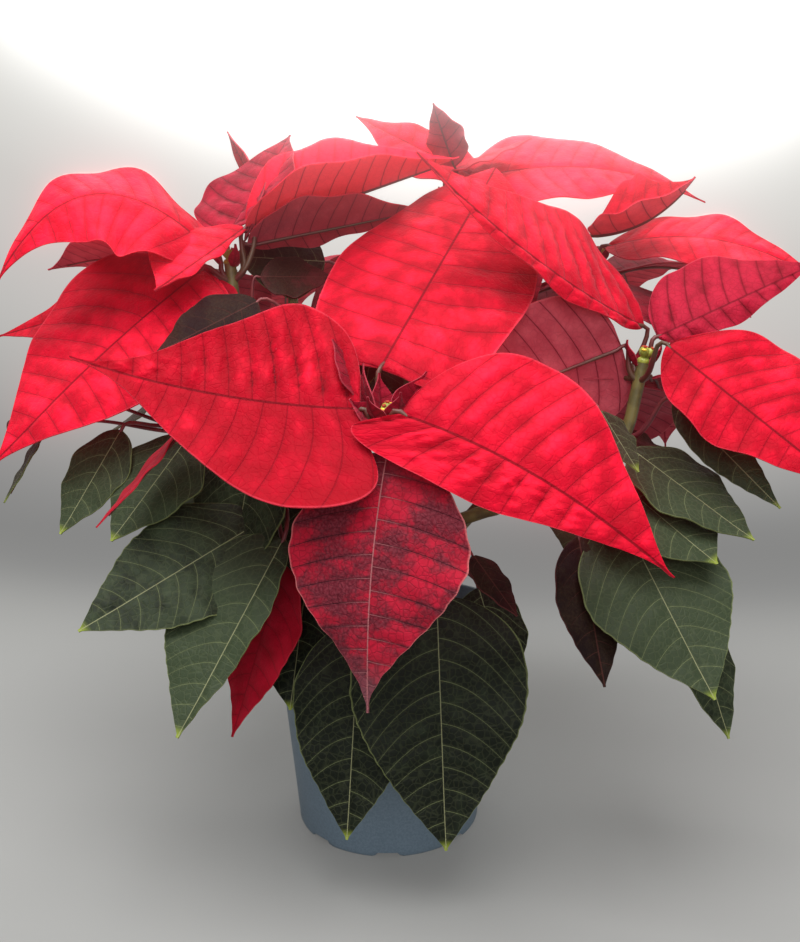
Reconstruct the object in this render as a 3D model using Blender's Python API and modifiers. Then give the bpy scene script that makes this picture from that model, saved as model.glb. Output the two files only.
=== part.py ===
"""A poinsettia in its 13 cm nursery pot.

One woody main stem stands in a hole in the soil and carries six leafy shoots. Each shoot ends in a
rosette of red bracts round a cluster of small yellow-green cups. Lengths in the tables are millimetres.
"""

import math
import random
from dataclasses import dataclass, replace

import bmesh
import bpy
import numpy as np
from mathutils import Vector
from mathutils.bvhtree import BVHTree

MM = 0.001
GAP = 0.3                    # left between pieces that touch

# Pot
FOOT_RADIUS = 47.5
WALL_TOP_RADIUS = 56.5
WALL_TOP = 88.0
RIM_RADIUS = 65.0
BAND_FOOT = 95.0             # where the wider band under the lip begins, inside
POT_HEIGHT = 110.0
POT_WALL = 1.4
POT_FLOOR = 4.0
LIP = 1.6
NOTCHES = 8
NOTCH = (13.0, 8.0, 2.4)     # width, depth inwards and height of a drainage notch in the foot
DRAINS = 5
DRAIN_RADIUS = 4.0
DRAIN_CIRCLE = 30.0
POT_SIDES = 36
SOIL_SIDES = 18

# Soil
SOIL_TOP = 97.0
SOIL_MOUND = 5.0

# Stems
TRUNK_RADIUS = 5.5
TRUNK_FOOT = 70.0
TRUNK_TOP = 138.0
STUB_LENGTH = 14.0
SHOOT_RADIUS = (3.6, 2.9)    # at the foot and under the rosette
CORE_RADIUS = 3.6
CORE_DOWN, CORE_UP = 20.0, 3.0   # how far a rosette's core reaches below and above its middle
STALK_RADIUS = 1.25
STALK_SHORT = 2.0            # from a stalk's last ring to the blade's first row
STALK_POINTS = 4

# Blades
BRACT_THICKNESS = 0.8
LEAF_THICKNESS = 0.9
LEAST_HALF_WIDTH = (1.3, 0.5)    # at the base and at the tip
LOBE_AT = 0.12               # how far along the blade its edge reaches back most
ROWS, COLUMNS = 7, 5
PLAIN_ROWS, PLAIN_COLUMNS = 6, 3
SMALL_BLADE = 67.0
SKIN = 1.0                   # clear space kept on each side of a blade


# Rosettes, in the order in which their shoots leave the main stem from the top down
SHOOTS = ("right", "back_left", "front", "top", "left", "back_right")
CUP_HEIGHT = 8.0             # of a rosette's cluster of cups
CUP_SPREAD = 4.0             # and its radius
CUPS = 4

# Bracts on the hidden sides, by bearing and rise
FILL_BRACTS = {
    "top": ((62, -14), (115, -20), (150, -34), (-60, -38)),
    "back_right": ((25, -12), (68, -6), (105, -14), (150, -24), (-62, -36)),
    "back_left": ((20, -22), (62, -12), (102, -8), (140, -14), (178, -22)),
    "right": ((40, -8), (85, -18), (130, -22)),
    "left": ((95, -14), (140, -8)),
    "front": ((120, -4),),
}
# Green leaves on the hidden sides: how many on each shoot, and the bearing of the first
FILL_LEAVES = {"right": (2, 30), "back_left": (5, 120), "front": (1, 200), "top": (5, 60),
               "left": (3, 150), "back_right": (5, 20)}
SEED = 12
LEFT_OUT = []                # blades that find no room


@dataclass
class Blade:
    """A leaf or bract: where its base is, which way it points and how its two halves lie."""
    base: tuple
    bearing: float           # of the line from base to tip: 0 is +X, 90 is +Y, degrees
    rise: float              # of that line above level, degrees
    length: float
    width: float
    turn: float = 0.0        # roll about that line; a positive one turns the upper face to the left
    left: float = 0.0        # lift of the left half out of the blade's plane, degrees
    right: float = 0.0
    left_part: float = 1.0   # width of the left half against half the width
    right_part: float = 1.0
    left_lobe: float = 0.0   # how far the left edge reaches back beside the base
    right_lobe: float = 0.0
    arch: float = 0.0        # height of the middle of the rib above the straight line
    bow: float = 0.0         # the same to the right
    curl: float = 0.0        # more lift at the edge than at the rib, degrees
    widest: float = 0.4      # where along its length the blade is widest
    blunt: float = 0.62      # a lower value gives a rounder base
    drawn: float = 1.35      # a higher value gives a longer, thinner tip
    wave: float = 1.5        # height of the waves along the edge
    phase: float = 0.0
    foot: float = 0.6        # where its stalk leaves the stem, from 0 at the bottom to 1 at the top
    red: bool = False        # a leaf on a leafy stem that has turned red
    hidden: bool = False     # on a side that no picture shows


HEADS = {                    # the middle of each rosette, where its stem carries the cups
    "front": (1, -90, 214),
    "left": (-78, 2, 284),
    "right": (119, -30, 236),
    "top": (38, 66, 322),
    "back_right": (115, 54, 290),
    "back_left": (-58, 82, 290),
}

BRACTS = {
    "front": [
        Blade((-10, -93, 222), 179, 10, 117, 90, turn=52, left=-12, right=2, arch=-8, widest=0.27,
              blunt=0.5, drawn=1.95, curl=18, left_lobe=22),
        Blade((6, -104, 221), -17, -29, 118, 82, turn=-52, left=10, right=-10, arch=6, bow=-4,
              right_part=0.52, left_part=1.05, widest=0.36, curl=-10, drawn=1.6, right_lobe=26),
        Blade((-2, -78, 238), 61, 40, 154, 98, turn=-15, left_part=1.05, right_part=0.93, curl=-14,
              blunt=0.5, drawn=0.85, widest=0.45, left_lobe=6, right_lobe=14),
        Blade((1, -101, 206), -109, -77, 101, 74, left=-6, right=-6, widest=0.42, drawn=1.9, arch=8),
        Blade((-8, -87, 224), 147, 57, 30, 15),
    ],
    "left": [
        Blade((-70, 3, 303), 5, 19, 112, 76, left=61, right=18, widest=0.38),
        Blade((-86, 0, 292), -162, -9, 99, 62, turn=10, left=-42, left_part=1.15, right=24,
              right_part=0.9, arch=33, blunt=0.5, wave=2.5),
        Blade((-90, -5, 284), -147, -42, 135, 90, turn=28, left=-4, right=-4, left_part=1.1,
              right_part=1.42, right_lobe=16, widest=0.34, blunt=0.5, drawn=1.5, arch=4),
        Blade((-80, 10, 303), 48, 52, 68, 62, left=6, right=6, left_part=1.3, blunt=0.5),
        Blade((-70, 0, 304), -131, -32, 62, 40, turn=10, left=-20, right=15, left_part=0.25,
              right_part=1.3, widest=0.6, drawn=1.6),
        Blade((-70, 6, 297), 8, 12, 92, 56, turn=28, left_part=0.45),
        Blade((-71, 4, 299), 20, 68, 30, 14),
        Blade((-89, 12, 284), 177, -16, 118, 64, turn=45, right_part=0.7),
    ],
    "right": [
        Blade((121, -24, 256), -162, 32, 134, 60, turn=42, left=-30, left_part=0.25, right=8,
              right_part=1.6, bow=-13, widest=0.36, blunt=0.5),
        Blade((125, -48, 247), -36, -37, 95, 58, turn=-25, left=8, left_part=1.5, right=-30,
              right_part=0.75),
        Blade((109, -30, 246), 183, -20, 94, 74, turn=-70, blunt=0.42, right_lobe=6),
        Blade((127, -26, 251), 0, 25, 80, 50, turn=-50, left_part=1.25, right=-25, right_part=0.42,
              blunt=0.45),
    ],
    "back_right": [
        Blade((118, 46, 300), -21, -11, 108, 66, turn=-27, arch=13),
        Blade((106, 26, 304), -38, 24, 58, 62, left=66, right=6, right_part=0.85, arch=-7),
    ],
    "top": [
        Blade((42, 60, 337), 0, -5, 134, 84, turn=-35, arch=14, widest=0.27, blunt=0.5, drawn=1.6),
        Blade((48, 64, 340), 171, 27, 76, 52, turn=38, blunt=0.5),
        Blade((36, 52, 343), -150, 65, 34, 36),
        Blade((34, 54, 341), -8, 20, 46, 30, turn=-20),
    ],
    "back_left": [
        Blade((-61, 71, 304), -158, 63, 66, 50, turn=180),
    ],
}

LEAVES = {
    "left": [
        Blade((-123, -39, 208), -135, -55, 54, 34, turn=20),
        Blade((-90, -46, 206), -135, -47, 58, 46, turn=20),
        Blade((-88, -63, 212), -133, -42, 57, 20, turn=-20, red=True),
        Blade((-55, -59, 170), -146, -24, 89, 54, turn=45),
        Blade((-44, -75, 165), -129, -50, 90, 50, turn=20, right_part=1.35, left_part=0.4, blunt=0.5),
        Blade((-47, -57, 149), -125, -64, 77, 40, red=True),
        Blade((-60, -30, 267), -156, -27, 53, 34, turn=40, red=True),
        Blade((-159, -16, 223), -128, -36, 37, 40, red=True),
        Blade((-166, -18, 208), -115, -51, 43, 18, turn=-30),
        Blade((-62, -6, 280), 8, 0, 36, 30, turn=-45, red=True, foot=0.9),
        Blade((-72, -12, 270), 178, -5, 32, 26, turn=45, red=True, foot=0.85),
    ],
    "front": [
        Blade((-38, -44, 137), -100, -61, 58, 46),
        Blade((-12, -68, 126), -100, -73, 92, 56),
        Blade((22, -73, 139), -83, -75, 106, 78, widest=0.36, blunt=0.5),
        Blade((48, -62, 137), -57, -61, 50, 40),
        Blade((37, -81, 159), -48, -40, 32, 18),
    ],
    "right": [
        Blade((100, -50, 190), -42, -33, 62, 60, turn=-20, left_part=1.2),
        Blade((112, -44, 200), -38, -32, 66, 44, turn=-20),
        Blade((104, -60, 172), -61, -49, 86, 66, turn=-20),
        Blade((84, -68, 164), -78, -62, 64, 30),
        Blade((138, -55, 129), -69, -60, 59, 30),
        Blade((131, -42, 222), -40, -42, 66, 20, turn=-60, foot=0.9),
        Blade((107, -27, 208), -46, -33, 38, 40, red=True, foot=0.85),
        Blade((92, -67, 219), -46, -52, 31, 24),
    ],
    "top": [],
    "back_right": [],
    "back_left": [
        Blade((-34, 35, 291), -167, 2, 48, 48, turn=60, foot=0.8),
    ],
}


def unit(vectors):
    return vectors / np.linalg.norm(vectors, axis=-1, keepdims=True)


def outline(along, widest, blunt, drawn):
    """Half width of a blade against its greatest half width, from the base at 0 to the tip at 1."""
    before = np.clip(1 - along / widest, 0, 1)
    after = np.clip((along - widest) / (1 - widest), 0, 1)
    return np.where(along < widest, (1 - before ** 2.2) ** blunt, (1 - after ** 1.7) ** drawn)


def directions(blade):
    """The blade's forward, right and up directions."""
    bearing, rise, turn = (math.radians(a) for a in (blade.bearing, blade.rise, blade.turn))
    level = np.array([math.cos(bearing), math.sin(bearing), 0.0])
    forward = level * math.cos(rise) + np.array([0, 0, math.sin(rise)])
    plumb = np.array([0, 0, math.cos(rise)]) - level * math.sin(rise)
    up = plumb * math.cos(turn) - np.cross(forward, plumb) * math.sin(turn)
    return forward, np.cross(forward, up), up


def rib_points(blade, along):
    """Points on the midrib, with a hump of the blade's arch and bow halfway."""
    forward, right, up = directions(blade)
    along = np.clip(np.asarray(along, float), 0, 1)[:, None]
    hump = 4 * along * (1 - along)
    return (np.array(blade.base, float) + forward * blade.length * along
            + up * blade.arch * hump + right * blade.bow * hump)


def blade_surface(blade, along, across):
    """The middle surface of a blade: rows along the rib, columns from the left edge at -1 to 1."""
    along = np.asarray(along, float)
    up = directions(blade)[2]
    tangent = unit(rib_points(blade, along + 0.01) - rib_points(blade, along - 0.01))
    side = unit(np.cross(tangent, up))
    normal = np.cross(side, tangent)
    shape = outline(along, blade.widest, blade.blunt, blade.drawn)
    least = LEAST_HALF_WIDTH[0] + (LEAST_HALF_WIDTH[1] - LEAST_HALF_WIDTH[0]) * along
    half = np.maximum(blade.width / 2 * shape, least)[:, None]
    across = np.asarray(across, float)[None, :]
    out = np.abs(across)
    on_left = across < 0
    part = np.where(on_left, blade.left_part, blade.right_part)
    lift = np.radians(np.where(on_left, blade.left, blade.right) + blade.curl * out / 2)
    reach = np.maximum(half * part, least[:, None]) * out
    ripple = blade.wave * out ** 2 * shape[:, None]
    ripple = ripple * np.sin(6 * math.pi * along[:, None] + 2 * np.sign(across) + blade.phase)
    near = along[:, None] / LOBE_AT
    lobe = np.where(on_left, blade.left_lobe, blade.right_lobe) * out * (0.05 + near * np.exp(1 - near))
    sideways = (np.sign(across) * np.cos(lift) * reach)[..., None] * side[:, None, :]
    upwards = (np.sin(lift) * reach + ripple)[..., None] * normal[:, None, :]
    backwards = lobe[..., None] * tangent[:, None, :]
    return rib_points(blade, along)[:, None, :] + sideways + upwards - backwards


def blade_grid(blade):
    """Rows and columns of a blade's solid: a small or a hidden blade has fewer."""
    plain = blade.hidden or blade.length < SMALL_BLADE
    rows, columns = (PLAIN_ROWS, PLAIN_COLUMNS) if plain else (ROWS, COLUMNS)
    along = np.linspace(0, 1, rows) ** 1.15
    return blade_surface(blade, along, np.linspace(-1, 1, columns))


def grid_triangles(rows, columns):
    triangles = []
    for row in range(rows - 1):
        for column in range(columns - 1):
            corner = row * columns + column
            above = corner + columns
            if column < (columns - 1) // 2:
                triangles += [(corner, corner + 1, above), (corner + 1, above + 1, above)]
            else:
                triangles += [(corner, corner + 1, above + 1), (corner, above + 1, above)]
    return triangles


def bezier(p0, p1, p2, p3, count):
    t = np.linspace(0, 1, count)[:, None]
    p0, p1, p2, p3 = (np.asarray(p, float) for p in (p0, p1, p2, p3))
    return (1 - t) ** 3 * p0 + 3 * (1 - t) ** 2 * t * p1 + 3 * (1 - t) * t ** 2 * p2 + t ** 3 * p3


def head_axis(name):
    """The direction in which a rosette's core stands."""
    x, y, z = HEADS[name]
    return unit(np.array([0.35 * x, 0.35 * y, z]))


def core_line(name):
    middle, axis = np.array(HEADS[name], float), head_axis(name)
    return middle - axis * CORE_DOWN, middle + axis * CORE_UP


def stub_line(index, name):
    """A stub on the main stem: its root on the stem's axis and its cut end."""
    x, y, _ = HEADS[name]
    level = unit(np.array([x, y, 0.0]))
    root = np.array([0, 0, TRUNK_TOP - 6.0 - 4.0 * index])
    direction = unit(level * 0.8 + np.array([0, 0, 0.75]))
    return root, root + direction * STUB_LENGTH


def shoot_line(index, name, count=9):
    """The axis of a shoot, from the stub's cut end to the foot of the rosette's core."""
    root, end = stub_line(index, name)
    start_direction = unit(end - root)
    axis = head_axis(name)
    start = end + start_direction * GAP
    finish = core_line(name)[0] - axis * GAP
    reach = np.linalg.norm(finish - start)
    inner = bezier(start + start_direction * 4, start + start_direction * reach * 0.35,
                   finish - axis * reach * 0.35, finish - axis * 4, count - 2)
    return np.vstack([start, inner, finish])


def stalk_line(blade, foot_point, stem_direction):
    """A stalk that leaves the stem sideways and ends just short of the blade's base."""
    forward = directions(blade)[0]
    base = np.array(blade.base, float)
    way = base - foot_point + forward * 3
    reach = np.linalg.norm(base - foot_point)
    outward = unit(way - stem_direction * (way @ stem_direction))
    first = foot_point + outward * reach * 0.5 + stem_direction * reach * 0.15
    turned_back = (1 - unit(base - foot_point) @ forward) / 2
    end = base - forward * STALK_SHORT
    last = end - (forward * (0.12 + 0.3 * turned_back) + stem_direction * 0.12) * reach
    return bezier(foot_point, first, last, end, STALK_POINTS + (2 if turned_back > 0.4 else 0))


def point_on(line, share):
    """The point a share of the way along a line of points."""
    steps = np.linalg.norm(np.diff(line, axis=0), axis=1)
    at = np.concatenate([[0], np.cumsum(steps)]) / steps.sum()
    return np.array([np.interp(share, at, line[:, k]) for k in range(3)])


def stalk_from(blade, stem_line, foot):
    foot_point = point_on(stem_line, foot)
    ahead = unit(point_on(stem_line, min(foot + 0.05, 1.0)) - point_on(stem_line, max(foot - 0.05, 0.0)))
    return stalk_line(blade, foot_point, ahead)


def surface_normals(grid):
    """Normals of a blade's grid, square to its rows and to its rib."""
    rib = np.gradient(grid[:, grid.shape[1] // 2], axis=0)
    return unit(np.cross(np.gradient(grid, axis=1), rib[:, None, :]))


def skin_tree(blade, start_row=0):
    """A search tree of the two faces that stand one skin above and below a blade."""
    grid = blade_grid(blade)
    lift = surface_normals(grid) * SKIN
    rows, columns = grid.shape[0] - start_row, grid.shape[1]
    points, faces = [], []
    for face in (grid + lift, grid - lift):
        first = len(points)
        points += [tuple(p) for p in face[start_row:].reshape(-1, 3)]
        faces += [tuple(first + i for i in t) for t in grid_triangles(rows, columns)]
    return BVHTree.FromPolygons(points, faces)


def tube_tree(line, radius, skip=0):
    """A search tree of a four-sided tube, without its first points where it is rooted."""
    line = line[skip:]
    points, faces = [], []
    for k, point in enumerate(line):
        ahead = line[min(k + 1, len(line) - 1)] - line[max(k - 1, 0)]
        side = unit(np.cross(ahead, [0.31, 0.52, 0.8]))
        other = unit(np.cross(ahead, side))
        points += [tuple(point + v * radius) for v in (side, other, -side, -other)]
    for k in range(len(line) - 1):
        for i in range(4):
            a, b = 4 * k + i, 4 * k + (i + 1) % 4
            faces.append((a, b, b + 4, a + 4))
    return BVHTree.FromPolygons(points, faces)


def ring_tree(profile, sides=24):
    """A search tree of a turned shape, given as (radius, height) pairs."""
    points, faces = [], []
    for radius, height in profile:
        points += [(radius * math.cos(2 * math.pi * k / sides),
                    radius * math.sin(2 * math.pi * k / sides), height) for k in range(sides)]
    for row in range(len(profile) - 1):
        for k in range(sides):
            a, b = row * sides + k, row * sides + (k + 1) % sides
            faces.append((a, b, b + sides, a + sides))
    return BVHTree.FromPolygons(points, faces)


def golden_bearing(first, index):
    return (first + 137.5 * index) % 360


def filler_bracts(name, rng):
    """Bracts of the sides that no picture shows, each a little off its listed direction."""
    middle, axis = np.array(HEADS[name], float), head_axis(name)
    blades = []
    for bearing, rise in FILL_BRACTS[name]:
        bearing += rng.uniform(-6, 6)
        level = np.array([math.cos(math.radians(bearing)), math.sin(math.radians(bearing)), 0])
        base = middle + level * 9 - axis * rng.uniform(0, 8)
        length = rng.uniform(88, 124)
        blades.append(Blade(tuple(base), bearing, rise + rng.uniform(-4, 4), length,
                            length * rng.uniform(0.58, 0.68), turn=rng.uniform(-14, 14),
                            left=rng.uniform(-10, 12), right=rng.uniform(-10, 12), arch=rng.uniform(4, 16),
                            phase=rng.uniform(0, 6), drawn=1.5, hidden=True))
    return blades


def filler_leaves(name, index, count, first, rng):
    """Green leaves of the same sides, lower ones longer and hanging more."""
    line = shoot_line(index, name)
    blades = []
    for k in range(count):
        bearing = golden_bearing(first, k) + rng.uniform(-10, 10)
        level = np.array([math.cos(math.radians(bearing)), math.sin(math.radians(bearing)), 0])
        foot = 0.3 + 0.6 * k / max(count - 1, 1)
        base = point_on(line, foot) + level * rng.uniform(34, 50) + np.array([0, 0, rng.uniform(6, 16)])
        length = rng.uniform(74, 104)
        blades.append(Blade(tuple(base), bearing, rng.uniform(-55, -25), length,
                            length * rng.uniform(0.56, 0.66), turn=rng.uniform(-12, 12),
                            left=rng.uniform(-4, 10), right=rng.uniform(-4, 10), arch=rng.uniform(4, 12),
                            phase=rng.uniform(0, 6), drawn=1.1, foot=foot, hidden=True))
    return blades


class Thicket:
    """What already has its place, so that each new blade can be bent clear of it."""

    def __init__(self):
        self.taken = []

    def add(self, node, whole, outer=None):
        self.taken.append((node, whole, outer))

    def meets(self, node, whole, outer, own_too):
        for other, taken, taken_outer in self.taken:
            if other != node:
                if taken.overlap(whole):
                    return True
            elif own_too and taken_outer and taken_outer.overlap(outer):
                return True
        return False


def bends(steps, size):
    """Small changes of bearing and rise, nearest first."""
    yield 0, 0
    for step in range(1, steps + 1):
        for swing, lift in ((0, 1), (0, -1), (1, 0), (-1, 0), (1, 1), (-1, 1), (1, -1), (-1, -1)):
            yield swing * step * size * 1.5, lift * step * size


def settle(thicket, node, blade, stem_line, steps, size, own_too):
    """The blade, bent clear of what is there, with its stalk, or None where it has no room."""
    for foot in (blade.foot, 0.75, 0.45, 0.9, 0.3):
        for swing, lift in bends(steps, size):
            tried = replace(blade, bearing=blade.bearing + swing, rise=blade.rise + lift)
            whole, outer = skin_tree(tried), skin_tree(tried, 2)
            if thicket.meets(node, whole, outer, own_too):
                continue
            stalk = stalk_from(tried, stem_line, foot)
            reed = tube_tree(stalk, STALK_RADIUS + 0.5)
            own = tube_tree(stalk[:-1], STALK_RADIUS + 0.5).overlap(whole)
            if own or thicket.meets(node, reed, reed, False):
                continue
            thicket.add(node, whole, outer)
            thicket.add(node, reed)
            return tried, stalk
    return None


def place_blades():
    """Every blade of the plant with its stalk, by node."""
    rng = random.Random(SEED)
    thicket = Thicket()
    thicket.add("pot", ring_tree([(FOOT_RADIUS, 0), (WALL_TOP_RADIUS, WALL_TOP), (RIM_RADIUS, WALL_TOP + 4),
                                  (RIM_RADIUS, POT_HEIGHT), (RIM_RADIUS - 3, POT_HEIGHT),
                                  (RIM_RADIUS - 8, SOIL_TOP), (8, SOIL_TOP + SOIL_MOUND + 1)]))
    trunk = np.array([[0, 0, TRUNK_FOOT], [0, 0, TRUNK_TOP]])
    thicket.add("main_stem", tube_tree(trunk, TRUNK_RADIUS + 0.5))
    for index, name in enumerate(SHOOTS):
        thicket.add("main_stem", tube_tree(np.array(stub_line(index, name)), SHOOT_RADIUS[0]))
        thicket.add("shoot_" + name, tube_tree(shoot_line(index, name), SHOOT_RADIUS[0]))
        thicket.add("bracts_" + name, tube_tree(np.array(core_line(name)), CORE_RADIUS + 0.5))
        cups = [np.array(HEADS[name]) + head_axis(name) * (CORE_UP + GAP + k) for k in (1, CUP_HEIGHT)]
        thicket.add("cups_" + name, tube_tree(np.array(cups), CUP_SPREAD))
    placed = {}

    def put(kind, name, blades, line, steps, size, own_too):
        for blade in blades:
            found = settle(thicket, kind + name, blade, line, steps, size, own_too)
            if found:
                placed.setdefault(kind + name, []).append(found)
            else:
                LEFT_OUT.append((kind + name, blade))

    for name in HEADS:
        put("bracts_", name, BRACTS[name], np.array(core_line(name)), 4, 1.5, False)
    for index, name in enumerate(SHOOTS):
        leaves = [blade if blade.red else replace(blade, drawn=1.1) for blade in LEAVES[name]]
        put("shoot_", name, leaves, shoot_line(index, name), 5, 2.0, False)
    for name in FILL_BRACTS:
        put("bracts_", name, filler_bracts(name, rng), np.array(core_line(name)), 8, 4.0, True)
    for index, name in enumerate(SHOOTS):
        count, first = FILL_LEAVES[name]
        leaves = filler_leaves(name, index, count, first, rng)
        put("shoot_", name, leaves, shoot_line(index, name), 8, 4.0, True)
    return placed


def clear_scene():
    for item in list(bpy.data.objects):
        bpy.data.objects.remove(item, do_unlink=True)


def collection(name):
    group = bpy.data.collections.new(name)
    bpy.context.scene.collection.children.link(group)
    return group


def surface(name, color, roughness):
    """A Principled material with an sRGB colour given from 0 to 255."""
    material = bpy.data.materials.new(name)
    material.use_nodes = True
    shader = material.node_tree.nodes["Principled BSDF"]
    linear = [((c / 255 + 0.055) / 1.055) ** 2.4 if c > 10 else c / 255 / 12.92 for c in color]
    shader.inputs["Base Color"].default_value = (*linear, 1)
    shader.inputs["Roughness"].default_value = roughness
    return material


def add_object(name, mesh, group, material=None):
    item = bpy.data.objects.new(name, mesh)
    group.objects.link(item)
    if material:
        mesh.materials.clear()
        mesh.materials.append(material)
    return item


def stalk_rings(blade, stalk, first_row):
    """Four-cornered rings along a stalk, turned so that they meet the blade's first row squarely."""
    base = first_row.mean(axis=0)
    side = unit(first_row[-1] - first_row[0])
    rings = []
    for k in range(len(stalk) - 1, -1, -1):
        ahead = unit((stalk[k + 1] if k + 1 < len(stalk) else base) - stalk[max(k - 1, 0)])
        side = unit(side - ahead * (side @ ahead))
        up = np.cross(side, ahead)
        radius = STALK_RADIUS * (1.3 if k == 0 else 1.0)
        rings.append([stalk[k] + way * radius for way in (-side, up, side, -up)])
    return rings[::-1]


def blade_object(blade, stalk, thickness, group):
    """A blade and its stalk in one solid: four-cornered rings that open into two like faces."""
    grid = blade_grid(blade)
    rows, columns = grid.shape[:2]
    half = surface_normals(grid) * thickness / 2
    rings = stalk_rings(blade, stalk, grid[0])
    points = [p for ring in rings for p in ring]
    faces = [(0, 1, 2), (0, 2, 3)]
    for k in range(len(rings) - 1):
        for i in range(4):
            a, b = 4 * k + i, 4 * k + (i + 1) % 4
            faces += [(a, a + 4, b), (b, a + 4, b + 4)]
    upper = len(points)
    lower = upper + (rows - 1) * columns + 1
    points += list((grid + half)[:-1].reshape(-1, 3)) + [grid[-1].mean(axis=0) + half[-2].mean(axis=0)]
    points += list((grid - half)[:-1].reshape(-1, 3)) + [grid[-1].mean(axis=0) - half[-2].mean(axis=0)]
    left, top, right, under = range(upper - 4, upper)
    last = columns - 1
    faces += [(left, upper, top), (top, upper + last, right), (right, upper + last, lower + last),
              (right, lower + last, under), (under, lower, left), (left, lower, upper)]
    for k in range(last):
        faces += [(top, upper + k, upper + k + 1), (under, lower + k + 1, lower + k)]
    for a, b, c in grid_triangles(rows - 1, columns):
        faces += [(upper + a, upper + b, upper + c)[::-1], (lower + a, lower + b, lower + c)]
    edge_row = (rows - 2) * columns
    for k in range(last):
        faces += [(upper + edge_row + k, lower - 1, upper + edge_row + k + 1),
                  (lower + edge_row + k, lower + edge_row + k + 1, len(points) - 1)]
    for column, flip in ((0, 1), (last, -1)):
        for row in range(rows - 1):
            a = row * columns + column
            b = a + columns if row < rows - 2 else (rows - 1) * columns
            faces += [(upper + a, lower + a, upper + b)[::flip], (upper + b, lower + a, lower + b)[::flip]]
    mesh = bpy.data.meshes.new("blade")
    mesh.from_pydata([tuple(p * MM) for p in points], [], faces)
    return add_object("blade", mesh, group)


def tube_object(line, radii, group, round_steps):
    """A tube along a line of points, tapered from the first radius to the second."""
    curve = bpy.data.curves.new("tube", "CURVE")
    curve.dimensions = "3D"
    curve.bevel_depth = MM
    curve.bevel_resolution = round_steps
    curve.use_fill_caps = True
    spline = curve.splines.new("POLY")
    spline.points.add(len(line) - 1)
    for k, (point, place) in enumerate(zip(spline.points, line)):
        point.co = (*(place * MM), 1)
        point.radius = radii[0] + (radii[1] - radii[0]) * k / (len(line) - 1)
    bent = bpy.data.objects.new("tube", curve)
    group.objects.link(bent)
    bpy.context.view_layer.update()
    evaluated = bent.evaluated_get(bpy.context.evaluated_depsgraph_get())
    mesh = bpy.data.meshes.new_from_object(evaluated)
    bpy.data.objects.remove(bent, do_unlink=True)
    weld(mesh, 0.01)
    return add_object("tube", mesh, group)


def weld(mesh, distance):
    """Joins points closer than a distance in millimetres and splits every face into triangles."""
    shape = bmesh.new()
    shape.from_mesh(mesh)
    bmesh.ops.remove_doubles(shape, verts=shape.verts, dist=distance * MM)
    bmesh.ops.triangulate(shape, faces=shape.faces)
    shape.to_mesh(mesh)
    shape.free()


def bodies_of(shape):
    """The loose bodies of a mesh, as sets of faces."""
    left, bodies = set(shape.faces), []
    while left:
        wave = [left.pop()]
        body = set(wave)
        while wave:
            near = {f for face in wave for e in face.edges for f in e.link_faces} & left
            left -= near
            body |= near
            wave = list(near)
        bodies.append(body)
    return bodies


def keep_largest_body(mesh):
    """Drops loose scraps and the walls of sealed hollows, and tells if what stays is closed."""
    shape = bmesh.new()
    shape.from_mesh(mesh)
    bmesh.ops.triangulate(shape, faces=shape.faces)
    bodies = bodies_of(shape)
    largest = max(bodies, key=len)
    loose = [face for body in bodies if body is not largest for face in body]
    bmesh.ops.delete(shape, geom=loose, context="FACES")
    closed = all(len(edge.link_faces) == 2 for edge in shape.edges)
    shape.to_mesh(mesh)
    shape.free()
    return closed


def fuse(name, first, rest, group, material):
    """One solid from a first object and a collection of others, which are then removed."""
    joined = first.modifiers.new("join", "BOOLEAN")
    joined.operation = "UNION"
    joined.operand_type = "COLLECTION"
    joined.collection = rest
    for solver in ("EXACT", "MANIFOLD"):
        joined.solver = solver
        bpy.context.view_layer.update()
        seen = first.evaluated_get(bpy.context.evaluated_depsgraph_get())
        mesh = bpy.data.meshes.new_from_object(seen)
        if keep_largest_body(mesh):
            break
    mesh.name = name
    for item in list(rest.objects) + [first]:
        bpy.data.objects.remove(item, do_unlink=True)
    bpy.data.collections.remove(rest)
    return add_object(name, mesh, group, material)


def turned(name, profile, group, material, sides=POT_SIDES):
    """A turned solid from (radius, height) pairs, whose outer side runs from top to bottom."""
    mesh = bpy.data.meshes.new(name)
    edges = [(k, k + 1) for k in range(len(profile) - 1)]
    mesh.from_pydata([(r * MM, 0, z * MM) for r, z in profile], edges, [])
    item = add_object(name, mesh, group, material)
    screw = item.modifiers.new("turn", "SCREW")
    screw.steps = screw.render_steps = sides
    screw.use_merge_vertices = True
    screw.merge_threshold = 0.00001
    return item


def inner_radius(height):
    """Inside radius of the pot: the wall, the step out to the rim band, and the band."""
    heights = (0, WALL_TOP, BAND_FOOT, POT_HEIGHT)
    radii = (FOOT_RADIUS, WALL_TOP_RADIUS, RIM_RADIUS - LIP - 1, RIM_RADIUS - LIP)
    return float(np.interp(height, heights, radii)) - POT_WALL


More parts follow.
